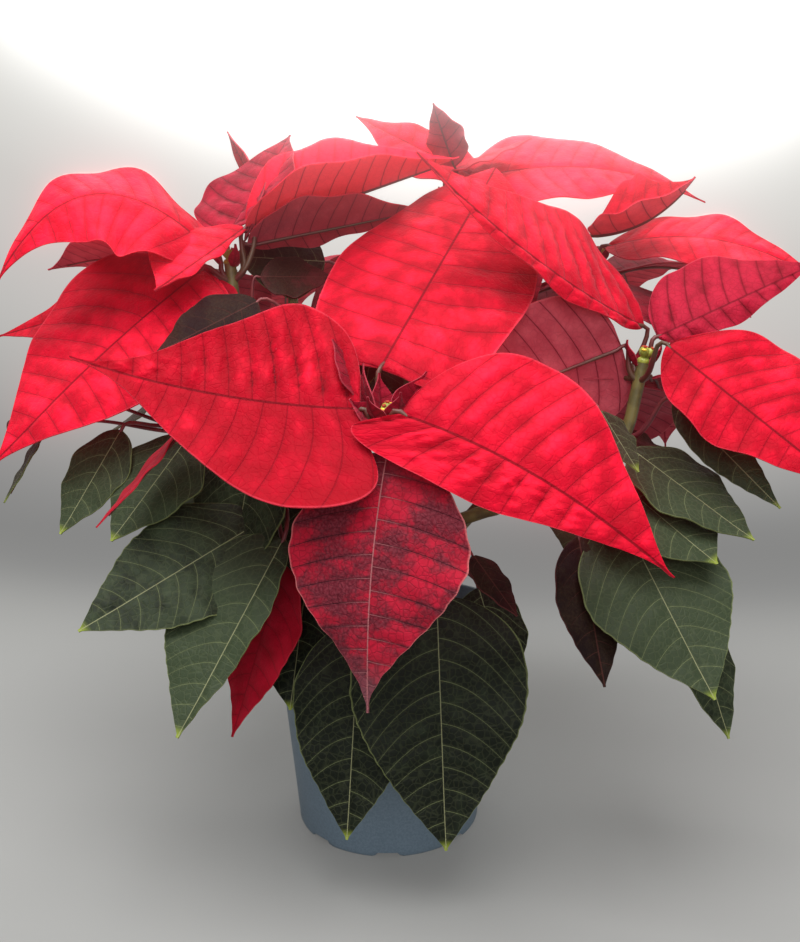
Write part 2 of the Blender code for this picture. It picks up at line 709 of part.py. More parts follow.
def build_pot(group, cutters):
    inside = [(inner_radius(z), z) for z in (POT_FLOOR, WALL_TOP, BAND_FOOT, POT_HEIGHT - 0.5)]
    lip = [(RIM_RADIUS - LIP - POT_WALL + 0.5, POT_HEIGHT), (RIM_RADIUS, POT_HEIGHT),
           (RIM_RADIUS, POT_HEIGHT - 3), (RIM_RADIUS - LIP, POT_HEIGHT - 3.6)]
    outside = [(RIM_RADIUS - LIP - 1, BAND_FOOT - 1), (WALL_TOP_RADIUS, WALL_TOP - 2), (FOOT_RADIUS, 1.2),
               (FOOT_RADIUS - 1.2, 0)]
    profile = [(0, POT_FLOOR), *inside, *lip, *outside, (0, 0)]
    pot = turned("pot", profile, group, surface("blue_grey_plastic", (96, 113, 132), 0.5))
    for k in range(NOTCHES):
        angle = 2 * math.pi * k / NOTCHES - math.pi / 2
        bpy.ops.mesh.primitive_cube_add(size=1)
        notch = bpy.context.object
        notch.name = "notch_cutter"
        notch.scale = (NOTCH[1] * 2 * MM, NOTCH[0] * MM, NOTCH[2] * 2 * MM)
        notch.location = (FOOT_RADIUS * math.cos(angle) * MM, FOOT_RADIUS * math.sin(angle) * MM, 0)
        notch.rotation_euler = (0, 0, angle)
        store_cutter(notch, cutters)
    for k in range(DRAINS):
        angle = 2 * math.pi * (k + 0.5) / DRAINS
        bpy.ops.mesh.primitive_cylinder_add(vertices=12, radius=DRAIN_RADIUS * MM, depth=POT_FLOOR * 4 * MM)
        hole = bpy.context.object
        hole.name = "drain_cutter"
        hole.location = (DRAIN_CIRCLE * math.cos(angle) * MM, DRAIN_CIRCLE * math.sin(angle) * MM, 0)
        store_cutter(hole, cutters)
    cut = pot.modifiers.new("notches_and_drains", "BOOLEAN")
    cut.operation = "DIFFERENCE"
    cut.solver = "EXACT"
    cut.operand_type = "COLLECTION"
    cut.collection = cutters
    return pot


def store_cutter(item, cutters):
    for group in list(item.users_collection):
        group.objects.unlink(item)
    cutters.objects.link(item)
    item.hide_render = True
    item.display_type = "WIRE"


def build_soil(group):
    """Soil that fills the pot, mounded round a plain hole for the main stem."""
    hole = TRUNK_RADIUS + GAP
    edge = inner_radius(SOIL_TOP) - GAP
    top = [(hole + (edge - hole) * k / 5, SOIL_TOP + SOIL_MOUND * (1 - (k / 5) ** 2)) for k in range(6)]
    sides = [(inner_radius(z) - GAP, z) for z in (BAND_FOOT, WALL_TOP, POT_FLOOR + GAP)]
    profile = [(0, TRUNK_FOOT - GAP), (hole, TRUNK_FOOT - GAP), *top, *sides, (0, POT_FLOOR + GAP)]
    return turned("soil", profile, group, surface("peat", (46, 34, 27), 0.95), SOIL_SIDES)


def build_main_stem(group):
    parts = bpy.data.collections.new("main_stem_parts")
    bpy.context.scene.collection.children.link(parts)
    trunk = tube_object(np.array([[0, 0, TRUNK_FOOT], [0, 0, SOIL_TOP], [0, 0, TRUNK_TOP]]),
                        (TRUNK_RADIUS, TRUNK_RADIUS - 0.4), group, 3)
    for index, name in enumerate(SHOOTS):
        tube_object(np.array(stub_line(index, name)), (SHOOT_RADIUS[0],) * 2, parts, 2)
    return fuse("main_stem", trunk, parts, group, surface("woody_bark", (110, 96, 64), 0.8))


def build_spray(node, placed, axis, group, material, thickness):
    """A stem or a rosette's core with its stalks and blades, as one solid."""
    parts = bpy.data.collections.new(node + "_parts")
    bpy.context.scene.collection.children.link(parts)
    for blade, stalk in placed:
        blade_object(blade, stalk, thickness, parts)
    return fuse(node, axis, parts, group, material)


def build_cups(name, group, rng):
    """A cluster of small oval cups on short necks, standing on a disc on the rosette's core."""
    axis = head_axis(name)
    foot = np.array(HEADS[name], float) + axis * (CORE_UP + GAP)
    parts = bpy.data.collections.new("cups_parts")
    bpy.context.scene.collection.children.link(parts)
    side = unit(np.cross(axis, [0.2, 1.0, 0.1]))
    other = np.cross(axis, side)
    disc = tube_object(np.array([foot, foot + axis * 2.2]), (3.2, 2.6), group, 2)
    for k in range(CUPS):
        angle = math.radians(golden_bearing(20, k))
        lean = 0.0 if k == 0 else 0.45
        out = (side * math.cos(angle) + other * math.sin(angle)) * lean
        way = unit(axis + out)
        start = foot + axis * 1.2 + out * 1.2
        length = CUP_HEIGHT - 1.2 + rng.uniform(-1.0, 0.0)
        cup = np.array([start, start + way * length * 0.6, start + way * length])
        swell_tube(cup, (0.9, 2.0, 1.0), parts)
    return fuse("cups_" + name, disc, parts, group, surface("cups", (150, 160, 60), 0.55))


def swell_tube(line, radii, group):
    """A six-sided tube with a radius of its own at each point."""
    item = tube_object(line, (1, 1), group, 1)
    middle = np.array([v.co for v in item.data.vertices])
    for vertex, place in zip(item.data.vertices, middle):
        nearest = int(np.argmin(np.linalg.norm(line * MM - place, axis=1)))
        centre = line[nearest] * MM
        vertex.co = Vector(centre + (place - centre) * radii[nearest])
    return item


def build():
    clear_scene()
    group = collection("poinsettia")
    cutters = collection("cutters")
    build_pot(group, cutters)
    build_soil(group)
    build_main_stem(group)
    placed = place_blades()
    rng = random.Random(SEED + 1)
    for index, name in enumerate(SHOOTS):
        stem = tube_object(shoot_line(index, name), SHOOT_RADIUS, group, 2)
        build_spray("shoot_" + name, placed.get("shoot_" + name, []), stem, group,
                    surface("green_leaf", (46, 70, 48), 0.55), LEAF_THICKNESS)
        core = tube_object(np.array(core_line(name)), (CORE_RADIUS, CORE_RADIUS), group, 2)
        build_spray("bracts_" + name, placed.get("bracts_" + name, []), core, group,
                    surface("red_bract", (222, 32, 56), 0.55), BRACT_THICKNESS)
        build_cups(name, group, rng)


if __name__ == "__main__":
    build()
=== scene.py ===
"""A poinsettia in its 13 cm nursery pot, dressed for the photograph's view.

The leaves and bracts follow the same rule and tables as the part, in millimetres, and are drawn here
on a fine grid with their veins, quilting and waved margins.
"""
import math
import random
from dataclasses import dataclass, replace

import bpy
import numpy as np
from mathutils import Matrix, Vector, noise
from mathutils.bvhtree import BVHTree


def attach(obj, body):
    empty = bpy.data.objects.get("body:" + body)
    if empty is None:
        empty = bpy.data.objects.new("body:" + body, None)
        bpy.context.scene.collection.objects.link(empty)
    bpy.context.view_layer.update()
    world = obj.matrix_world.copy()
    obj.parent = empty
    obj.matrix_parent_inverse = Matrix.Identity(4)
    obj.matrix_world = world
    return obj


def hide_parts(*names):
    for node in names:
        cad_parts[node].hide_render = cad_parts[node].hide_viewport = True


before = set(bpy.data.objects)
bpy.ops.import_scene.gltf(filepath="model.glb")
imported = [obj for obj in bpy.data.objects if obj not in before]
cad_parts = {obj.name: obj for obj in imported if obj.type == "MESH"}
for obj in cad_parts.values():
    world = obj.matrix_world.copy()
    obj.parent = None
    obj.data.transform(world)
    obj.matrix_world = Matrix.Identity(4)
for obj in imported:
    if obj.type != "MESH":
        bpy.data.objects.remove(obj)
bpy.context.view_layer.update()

CAMERA_PLACE = (0.006, -0.437, 0.247)
CAMERA_PITCH = 8.3           # degrees below level
CAMERA_LENS = 33.06          # mm on a 36 mm sensor along the long side


def set_camera():
    data = bpy.data.cameras.new("camera")
    data.lens = CAMERA_LENS
    data.sensor_width = 36
    data.clip_start = 0.01
    camera = bpy.data.objects.new("camera", data)
    camera.location = CAMERA_PLACE
    camera.rotation_euler = (math.radians(90 - CAMERA_PITCH), 0, 0)
    bpy.context.scene.collection.objects.link(camera)
    bpy.context.scene.camera = camera


set_camera()

MM = 0.001
GAP = 0.3                    # left between pieces that touch

# Pot
FOOT_RADIUS = 47.5
WALL_TOP_RADIUS = 56.5
WALL_TOP = 88.0
RIM_RADIUS = 65.0
BAND_FOOT = 95.0             # where the wider band under the lip begins, inside
POT_HEIGHT = 110.0
POT_WALL = 1.4
POT_FLOOR = 4.0
LIP = 1.6                    # how far the lip stands out from the band
NOTCHES = 8
NOTCH = (13.0, 8.0, 2.4)     # width, depth inwards and height of a drainage notch in the foot

# Soil
SOIL_TOP = 97.0
SOIL_MOUND = 5.0

# Stems
TRUNK_RADIUS = 5.5
TRUNK_FOOT = 70.0
TRUNK_TOP = 138.0
STUB_TOP, STUB_STEP = 6.0, 4.0   # the first stub's root under the stem's top, and each next one below it
STUB_LENGTH = 14.0
STUB_WAY = (0.8, 0.75)       # outwards and upwards
SHOOT_RADIUS = (3.6, 2.9)    # at the foot and under the rosette
SHOOT_PULL = 0.35            # how strongly a shoot keeps its direction at both ends
HEAD_LEAN = 0.35             # a rosette leans outwards by this share of how far out it stands
CORE_RADIUS = 3.6
CORE_DOWN, CORE_UP = 20.0, 3.0   # how far a rosette's core reaches below and above its middle
STALK_RADIUS = 1.25
STALK_SHORT = 2.0            # from a stalk's last ring to the blade's first row
STALK_POINTS = 4
OTHER_FEET = (0.75, 0.45, 0.9, 0.3)  # where a stalk may leave the stem if its own place isn't clear

# Blades
LEAST_HALF_WIDTH = (1.3, 0.5)    # at the base and at the tip
LOBE_AT = 0.12               # how far along the blade its edge reaches back most
BASE_POWER, TIP_POWER = 2.2, 1.7  # of the outline's curves before and after its widest place
EDGE_WAVES = 3               # along each side
ROW_POWER = 1.15             # above 1, rows lie closer near the base
ROWS, COLUMNS = 7, 5         # of the part's plain blades, which keep clear of each other here too
PLAIN_ROWS, PLAIN_COLUMNS = 6, 3
SMALL_BLADE = 67.0           # a shorter one has the fewer rows and columns
SKIN = 1.0                   # clear space kept on each side of a blade

# Rosettes, in the order in which their shoots leave the main stem from the top down
SHOOTS = ("right", "back_left", "front", "top", "left", "back_right")
CUP_HEIGHT = 8.0             # of a rosette's cluster of cups
CUP_SPREAD = 4.0             # and its radius
CUPS = 4

# Bracts on the hidden sides, by bearing and rise
FILL_BRACTS = {
    "top": ((62, -14), (115, -20), (150, -34), (-60, -38)),
    "back_right": ((25, -12), (68, -6), (105, -14), (150, -24), (-62, -36)),
    "back_left": ((20, -22), (62, -12), (102, -8), (140, -14), (178, -22)),
    "right": ((40, -8), (85, -18), (130, -22)),
    "left": ((95, -14), (140, -8)),
    "front": ((120, -4),),
}
# Green leaves on the hidden sides: how many on each shoot, and the bearing of the first
FILL_LEAVES = {"right": (2, 30), "back_left": (5, 120), "front": (1, 200), "top": (5, 60),
               "left": (3, 150), "back_right": (5, 20)}
SEED = 12


@dataclass
class Blade:
    """A leaf or bract: where its base is, which way it points and how its two halves lie."""
    base: tuple
    bearing: float           # of the line from base to tip: 0 is +X, 90 is +Y, degrees
    rise: float              # of that line above level, degrees
    length: float
    width: float
    turn: float = 0.0        # roll about that line; a positive one turns the upper face to the left
    left: float = 0.0        # lift of the left half out of the blade's plane, degrees
    right: float = 0.0
    left_part: float = 1.0   # width of the left half against half the width
    right_part: float = 1.0
    left_lobe: float = 0.0   # how far the left edge reaches back beside the base
    right_lobe: float = 0.0
    arch: float = 0.0        # height of the middle of the rib above the straight line
    bow: float = 0.0         # the same to the right
    curl: float = 0.0        # more lift at the edge than at the rib, degrees
    widest: float = 0.4      # where along its length the blade is widest
    blunt: float = 0.62      # a lower value gives a rounder base
    drawn: float = 1.35      # a higher value gives a longer, thinner tip
    wave: float = 1.5        # height of the waves along the edge
    phase: float = 0.0
    foot: float = 0.6        # where its stalk leaves the stem, from 0 at the bottom to 1 at the top
    red: bool = False        # a leaf on a leafy stem that has turned red
    hidden: bool = False     # on a side that no picture shows


HEADS = {                    # the middle of each rosette, where its stem carries the cups
    "front": (1, -90, 214),
    "left": (-78, 2, 284),
    "right": (119, -30, 236),
    "top": (38, 66, 322),
    "back_right": (115, 54, 290),
    "back_left": (-58, 82, 290),
}

BRACTS = {
    "front": [
        Blade((-10, -93, 222), 179, 10, 117, 90, turn=52, left=-12, right=2, arch=-8, widest=0.27,
              blunt=0.5, drawn=1.95, curl=18, left_lobe=22),
        Blade((6, -104, 221), -17, -29, 118, 82, turn=-52, left=10, right=-10, arch=6, bow=-4,
              right_part=0.52, left_part=1.05, widest=0.36, curl=-10, drawn=1.6, right_lobe=26),
        Blade((-2, -78, 238), 61, 40, 154, 98, turn=-15, left_part=1.05, right_part=0.93, curl=-14,
              blunt=0.5, drawn=0.85, widest=0.45, left_lobe=6, right_lobe=14),
        Blade((1, -101, 206), -109, -77, 101, 74, left=-6, right=-6, widest=0.42, drawn=1.9, arch=8),
        Blade((-8, -87, 224), 147, 57, 30, 15),
    ],
    "left": [
        Blade((-70, 3, 303), 5, 19, 112, 76, left=61, right=18, widest=0.38),
        Blade((-86, 0, 292), -162, -9, 99, 62, turn=10, left=-42, left_part=1.15, right=24,
              right_part=0.9, arch=33, blunt=0.5, wave=2.5),
        Blade((-90, -5, 284), -147, -42, 135, 90, turn=28, left=-4, right=-4, left_part=1.1,
              right_part=1.42, right_lobe=16, widest=0.34, blunt=0.5, drawn=1.5, arch=4),
        Blade((-80, 10, 303), 48, 52, 68, 62, left=6, right=6, left_part=1.3, blunt=0.5),
        Blade((-70, 0, 304), -131, -32, 62, 40, turn=10, left=-20, right=15, left_part=0.25,
              right_part=1.3, widest=0.6, drawn=1.6),
        Blade((-70, 6, 297), 8, 12, 92, 56, turn=28, left_part=0.45),
        Blade((-71, 4, 299), 20, 68, 30, 14),
        Blade((-89, 12, 284), 177, -16, 118, 64, turn=45, right_part=0.7),
    ],
    "right": [
        Blade((121, -24, 256), -162, 32, 134, 60, turn=42, left=-30, left_part=0.25, right=8,
              right_part=1.6, bow=-13, widest=0.36, blunt=0.5),
        Blade((125, -48, 247), -36, -37, 95, 58, turn=-25, left=8, left_part=1.5, right=-30,
              right_part=0.75),
        Blade((109, -30, 246), 183, -20, 94, 74, turn=-70, blunt=0.42, right_lobe=6),
        Blade((127, -26, 251), 0, 25, 80, 50, turn=-50, left_part=1.25, right=-25, right_part=0.42,
              blunt=0.45),
    ],
    "back_right": [
        Blade((118, 46, 300), -21, -11, 108, 66, turn=-27, arch=13),
        Blade((106, 26, 304), -38, 24, 58, 62, left=66, right=6, right_part=0.85, arch=-7),
    ],
    "top": [
        Blade((42, 60, 337), 0, -5, 134, 84, turn=-35, arch=14, widest=0.27, blunt=0.5, drawn=1.6),
        Blade((48, 64, 340), 171, 27, 76, 52, turn=38, blunt=0.5),
        Blade((36, 52, 343), -150, 65, 34, 36),
        Blade((34, 54, 341), -8, 20, 46, 30, turn=-20),
    ],
    "back_left": [
        Blade((-61, 71, 304), -158, 63, 66, 50, turn=180),
    ],
}

LEAVES = {
    "left": [
        Blade((-123, -39, 208), -135, -55, 54, 34, turn=20),
        Blade((-90, -46, 206), -135, -47, 58, 46, turn=20),
        Blade((-88, -63, 212), -133, -42, 57, 20, turn=-20, red=True),
        Blade((-55, -59, 170), -146, -24, 89, 54, turn=45),
        Blade((-44, -75, 165), -129, -50, 90, 50, turn=20, right_part=1.35, left_part=0.4, blunt=0.5),
        Blade((-47, -57, 149), -125, -64, 77, 40, red=True),
        Blade((-60, -30, 267), -156, -27, 53, 34, turn=40, red=True),
        Blade((-159, -16, 223), -128, -36, 37, 40, red=True),
        Blade((-166, -18, 208), -115, -51, 43, 18, turn=-30),
        Blade((-62, -6, 280), 8, 0, 36, 30, turn=-45, red=True, foot=0.9),
        Blade((-72, -12, 270), 178, -5, 32, 26, turn=45, red=True, foot=0.85),
    ],
    "front": [
        Blade((-38, -44, 137), -100, -61, 58, 46),
        Blade((-12, -68, 126), -100, -73, 92, 56),
        Blade((22, -73, 139), -83, -75, 106, 78, widest=0.36, blunt=0.5),
        Blade((48, -62, 137), -57, -61, 50, 40),
        Blade((37, -81, 159), -48, -40, 32, 18),
    ],
    "right": [
        Blade((100, -50, 190), -42, -33, 62, 60, turn=-20, left_part=1.2),
        Blade((112, -44, 200), -38, -32, 66, 44, turn=-20),
        Blade((104, -60, 172), -61, -49, 86, 66, turn=-20),
        Blade((84, -68, 164), -78, -62, 64, 30),
        Blade((138, -55, 129), -69, -60, 59, 30),
        Blade((131, -42, 222), -40, -42, 66, 20, turn=-60, foot=0.9),
        Blade((107, -27, 208), -46, -33, 38, 40, red=True, foot=0.85),
        Blade((92, -67, 219), -46, -52, 31, 24),
    ],
    "top": [],
    "back_right": [],
    "back_left": [
        Blade((-34, 35, 291), -167, 2, 48, 48, turn=60, foot=0.8),
    ],
}


def unit(vectors):
    return vectors / np.linalg.norm(vectors, axis=-1, keepdims=True)


def outline(along, widest, blunt, drawn):
    """Half width of a blade against its greatest half width, from the base at 0 to the tip at 1."""
    before = np.clip(1 - along / widest, 0, 1)
    after = np.clip((along - widest) / (1 - widest), 0, 1)
    return np.where(along < widest, (1 - before ** BASE_POWER) ** blunt, (1 - after ** TIP_POWER) ** drawn)


def level_way(bearing):
    """The level direction of a bearing in degrees."""
    angle = math.radians(bearing)
    return np.array([math.cos(angle), math.sin(angle), 0.0])


def directions(blade):
    """The blade's forward, right and up directions."""
    rise, turn = math.radians(blade.rise), math.radians(blade.turn)
    level = level_way(blade.bearing)
    forward = level * math.cos(rise) + np.array([0, 0, math.sin(rise)])
    plumb = np.array([0, 0, math.cos(rise)]) - level * math.sin(rise)
    up = plumb * math.cos(turn) - np.cross(forward, plumb) * math.sin(turn)
    return forward, np.cross(forward, up), up


def rib_points(blade, along):
    """Points on the midrib, with a hump of the blade's arch and bow halfway."""
    forward, right, up = directions(blade)
    along = np.clip(np.asarray(along, float), 0, 1)[:, None]
    hump = 4 * along * (1 - along)
    return (np.array(blade.base, float) + forward * blade.length * along
            + up * blade.arch * hump + right * blade.bow * hump)


def blade_surface(blade, along, across):
    """The middle surface of a blade: rows along the rib, columns from the left edge at -1 to 1."""
    along = np.asarray(along, float)
    up = directions(blade)[2]
    tangent = unit(rib_points(blade, along + 0.01) - rib_points(blade, along - 0.01))
    side = unit(np.cross(tangent, up))
    normal = np.cross(side, tangent)
    shape = outline(along, blade.widest, blade.blunt, blade.drawn)
    least = LEAST_HALF_WIDTH[0] + (LEAST_HALF_WIDTH[1] - LEAST_HALF_WIDTH[0]) * along
    half = np.maximum(blade.width / 2 * shape, least)[:, None]
    across = np.asarray(across, float)[None, :]
    out = np.abs(across)
    on_left = across < 0
    part = np.where(on_left, blade.left_part, blade.right_part)
    lift = np.radians(np.where(on_left, blade.left, blade.right) + blade.curl * out / 2)
    reach = np.maximum(half * part, least[:, None]) * out
    ripple = blade.wave * out ** 2 * shape[:, None]
    ripple = ripple * np.sin(2 * EDGE_WAVES * math.pi * along[:, None] + 2 * np.sign(across) + blade.phase)
    near = along[:, None] / LOBE_AT
    lobe = np.where(on_left, blade.left_lobe, blade.right_lobe) * out * (0.05 + near * np.exp(1 - near))
    sideways = (np.sign(across) * np.cos(lift) * reach)[..., None] * side[:, None, :]
    upwards = (np.sin(lift) * reach + ripple)[..., None] * normal[:, None, :]
    backwards = lobe[..., None] * tangent[:, None, :]
    return rib_points(blade, along)[:, None, :] + sideways + upwards - backwards


def blade_grid(blade):
    """Rows and columns of a blade's solid: a small or a hidden blade has fewer."""
    plain = blade.hidden or blade.length < SMALL_BLADE
    rows, columns = (PLAIN_ROWS, PLAIN_COLUMNS) if plain else (ROWS, COLUMNS)
    along = np.linspace(0, 1, rows) ** ROW_POWER
    return blade_surface(blade, along, np.linspace(-1, 1, columns))


def grid_triangles(rows, columns):
    """Triangles of a plain blade's grid, mirrored about its rib."""
    triangles = []
    for row in range(rows - 1):
        for column in range(columns - 1):
            corner = row * columns + column
            above = corner + columns
            if column < (columns - 1) // 2:
                triangles += [(corner, corner + 1, above), (corner + 1, above + 1, above)]
            else:
                triangles += [(corner, corner + 1, above + 1), (corner, above + 1, above)]
    return triangles


def bezier(p0, p1, p2, p3, count):
    t = np.linspace(0, 1, count)[:, None]
    p0, p1, p2, p3 = (np.asarray(p, float) for p in (p0, p1, p2, p3))
    return (1 - t) ** 3 * p0 + 3 * (1 - t) ** 2 * t * p1 + 3 * (1 - t) * t ** 2 * p2 + t ** 3 * p3


def head_axis(name):
    """The direction in which a rosette's core stands."""
    x, y, z = HEADS[name]
    return unit(np.array([HEAD_LEAN * x, HEAD_LEAN * y, z]))


def core_line(name):
    middle, axis = np.array(HEADS[name], float), head_axis(name)
    return middle - axis * CORE_DOWN, middle + axis * CORE_UP


def stub_line(index, name):
    """A stub on the main stem: its root on the stem's axis and its cut end."""
    x, y, _ = HEADS[name]
    level = unit(np.array([x, y, 0.0]))
    root = np.array([0, 0, TRUNK_TOP - STUB_TOP - STUB_STEP * index])
    direction = unit(level * STUB_WAY[0] + np.array([0, 0, STUB_WAY[1]]))
    return root, root + direction * STUB_LENGTH


def shoot_line(index, name, count=9):
    """The axis of a shoot, from the stub's cut end to the foot of the rosette's core."""
    root, end = stub_line(index, name)
    start_direction = unit(end - root)
    axis = head_axis(name)
    start = end + start_direction * GAP
    finish = core_line(name)[0] - axis * GAP
    reach = np.linalg.norm(finish - start)
    pull = reach * SHOOT_PULL
    inner = bezier(start + start_direction * 4, start + start_direction * pull, finish - axis * pull,
                   finish - axis * 4, count - 2)
    return np.vstack([start, inner, finish])


def stalk_line(blade, foot_point, stem_direction):
    """A stalk that leaves the stem sideways and ends just short of the blade's base."""
    forward = directions(blade)[0]
    base = np.array(blade.base, float)
    way = base - foot_point + forward * 3
    reach = np.linalg.norm(base - foot_point)
    outward = unit(way - stem_direction * (way @ stem_direction))
    first = foot_point + outward * reach * 0.5 + stem_direction * reach * 0.15
    turned_back = (1 - unit(base - foot_point) @ forward) / 2
    end = base - forward * STALK_SHORT
    last = end - (forward * (0.12 + 0.3 * turned_back) + stem_direction * 0.12) * reach
    return bezier(foot_point, first, last, end, STALK_POINTS + (2 if turned_back > 0.4 else 0))


def point_on(line, share):
    """The point a share of the way along a line of points."""
    steps = np.linalg.norm(np.diff(line, axis=0), axis=1)
    at = np.concatenate([[0], np.cumsum(steps)]) / steps.sum()
    return np.array([np.interp(share, at, line[:, k]) for k in range(3)])


def stalk_from(blade, stem_line, foot):
    foot_point = point_on(stem_line, foot)
    ahead = unit(point_on(stem_line, min(foot + 0.05, 1.0)) - point_on(stem_line, max(foot - 0.05, 0.0)))
    return stalk_line(blade, foot_point, ahead)


def surface_normals(grid):
    """Normals of a blade's grid, square to its rows and to its rib."""
    rib = np.gradient(grid[:, grid.shape[1] // 2], axis=0)
    return unit(np.cross(np.gradient(grid, axis=1), rib[:, None, :]))


def skin_tree(blade, start_row=0):
    """A search tree of the two faces that stand one skin above and below a blade."""
    grid = blade_grid(blade)
    lift = surface_normals(grid) * SKIN
    rows, columns = grid.shape[0] - start_row, grid.shape[1]
    points, faces = [], []
    for face in (grid + lift, grid - lift):
        first = len(points)
        points += [tuple(p) for p in face[start_row:].reshape(-1, 3)]
        faces += [tuple(first + i for i in t) for t in grid_triangles(rows, columns)]
    return BVHTree.FromPolygons(points, faces)


def ring_faces(rings, sides):
    """Quads between neighbouring closed rings."""
    k = np.arange(sides)
    follow = (k + 1) % sides
    quad = np.stack([k, follow, sides + follow, sides + k], 1)
    return np.vstack([quad + row * sides for row in range(rings - 1)])


def tube_tree(line, radius):
    """A search tree of a four-sided tube."""
    points = []
    for k, point in enumerate(line):
        ahead = line[min(k + 1, len(line) - 1)] - line[max(k - 1, 0)]
        side = unit(np.cross(ahead, [0.31, 0.52, 0.8]))
        other = unit(np.cross(ahead, side))
        points += [tuple(point + v * radius) for v in (side, other, -side, -other)]
    return BVHTree.FromPolygons(points, ring_faces(len(line), 4).tolist())


def ring_tree(profile, sides=24):
    """A search tree of a turned shape, given as (radius, height) pairs."""
    spin = [2 * math.pi * k / sides for k in range(sides)]
    points = [(radius * math.cos(a), radius * math.sin(a), height)
              for radius, height in profile for a in spin]
    return BVHTree.FromPolygons(points, ring_faces(len(profile), sides).tolist())


def golden_bearing(first, index):
    """The bearing of the next of a row of parts that spread evenly round a stem."""
    return (first + 137.5 * index) % 360


def filler(rng, base, bearing, rise, length, widths, sides, arches, turn, **rest):
    """A blade of the sides that no picture shows, drawn between the limits of each measure."""
    return Blade(tuple(base), bearing, rise, length, length * rng.uniform(*widths),
                 turn=rng.uniform(-turn, turn), left=rng.uniform(*sides), right=rng.uniform(*sides),
                 arch=rng.uniform(*arches), phase=rng.uniform(0, 6), hidden=True, **rest)


def filler_bracts(name, rng):
    """Bracts of the hidden sides, each a little off its listed direction."""
    middle, axis = np.array(HEADS[name], float), head_axis(name)
    for bearing, rise in FILL_BRACTS[name]:
        bearing += rng.uniform(-6, 6)
        base = middle + level_way(bearing) * 9 - axis * rng.uniform(0, 8)
        length = rng.uniform(88, 124)
        yield filler(rng, base, bearing, rise + rng.uniform(-4, 4), length, (0.58, 0.68), (-10, 12), (4, 16),
                     14, drawn=1.5)


def filler_leaves(name, index, rng):
    """Green leaves of the same sides, from the lowest up."""
    line = shoot_line(index, name)
    count, first = FILL_LEAVES[name]
    for k in range(count):
        bearing = golden_bearing(first, k) + rng.uniform(-10, 10)
        foot = 0.3 + 0.6 * k / max(count - 1, 1)
        base = point_on(line, foot) + level_way(bearing) * rng.uniform(34, 50) + [0, 0, rng.uniform(6, 16)]
        length = rng.uniform(74, 104)
        yield filler(rng, base, bearing, rng.uniform(-55, -25), length, (0.56, 0.66), (-4, 10), (4, 12),
                     12, drawn=1.1, foot=foot)


class Thicket:
    """What already has its place, so that each new blade can be bent clear of it."""

    def __init__(self):
        self.taken = []

    def add(self, node, whole, outer=None):
        self.taken.append((node, whole, outer))

    def meets(self, node, whole, outer, own_too):
        for other, taken, taken_outer in self.taken:
            if other != node:
                if taken.overlap(whole):
                    return True
            elif own_too and taken_outer and taken_outer.overlap(outer):
                return True
        return False


def bends(steps, size):
    """Small changes of bearing and rise, nearest first."""
    yield 0, 0
    for step in range(1, steps + 1):
        for swing, lift in ((0, 1), (0, -1), (1, 0), (-1, 0), (1, 1), (-1, 1), (1, -1), (-1, -1)):
            yield swing * step * size * 1.5, lift * step * size


def settle(thicket, node, blade, stem_line, steps, size, own_too):
    """The blade, bent clear of what is there, with its stalk, or None where it has no room."""
    for foot in (blade.foot, *OTHER_FEET):
        for swing, lift in bends(steps, size):
            tried = replace(blade, bearing=blade.bearing + swing, rise=blade.rise + lift)
            whole, outer = skin_tree(tried), skin_tree(tried, 2)
            if thicket.meets(node, whole, outer, own_too):
                continue
            stalk = stalk_from(tried, stem_line, foot)
            reed = tube_tree(stalk, STALK_RADIUS + 0.5)
            own = tube_tree(stalk[:-1], STALK_RADIUS + 0.5).overlap(whole)
            if own or thicket.meets(node, reed, reed, False):
                continue
            thicket.add(node, whole, outer)
            thicket.add(node, reed)
            return tried, stalk
    return None


def place_blades():
    """Every blade of the plant with its stalk, by node."""
    rng = random.Random(SEED)
    thicket = Thicket()
    thicket.add("pot", ring_tree([(FOOT_RADIUS, 0), (WALL_TOP_RADIUS, WALL_TOP), (RIM_RADIUS, WALL_TOP + 4),
                                  (RIM_RADIUS, POT_HEIGHT), (RIM_RADIUS - 3, POT_HEIGHT),
                                  (RIM_RADIUS - 8, SOIL_TOP), (8, SOIL_TOP + SOIL_MOUND + 1)]))
    trunk = np.array([[0, 0, TRUNK_FOOT], [0, 0, TRUNK_TOP]])
    thicket.add("main_stem", tube_tree(trunk, TRUNK_RADIUS + 0.5))
    for index, name in enumerate(SHOOTS):
        thicket.add("main_stem", tube_tree(np.array(stub_line(index, name)), SHOOT_RADIUS[0]))
        thicket.add("shoot_" + name, tube_tree(shoot_line(index, name), SHOOT_RADIUS[0]))
        thicket.add("bracts_" + name, tube_tree(np.array(core_line(name)), CORE_RADIUS + 0.5))
        cups = [np.array(HEADS[name]) + head_axis(name) * (CORE_UP + GAP + k) for k in (1, CUP_HEIGHT)]
        thicket.add("cups_" + name, tube_tree(np.array(cups), CUP_SPREAD))
    placed = {}

    def put(kind, name, blades, line, steps, size, own_too):
        for blade in blades:
            found = settle(thicket, kind + name, blade, line, steps, size, own_too)
            if found:
                placed.setdefault(kind + name, []).append(found)

    for name in HEADS:
        put("bracts_", name, BRACTS[name], np.array(core_line(name)), 4, 1.5, False)
    for index, name in enumerate(SHOOTS):
        leaves = [blade if blade.red else replace(blade, drawn=1.1) for blade in LEAVES[name]]
        put("shoot_", name, leaves, shoot_line(index, name), 5, 2.0, False)
    for name in FILL_BRACTS:
        put("bracts_", name, filler_bracts(name, rng), np.array(core_line(name)), 8, 4.0, True)
    for index, name in enumerate(SHOOTS):
        put("shoot_", name, filler_leaves(name, index, rng), shoot_line(index, name), 8, 4.0, True)
    return placed


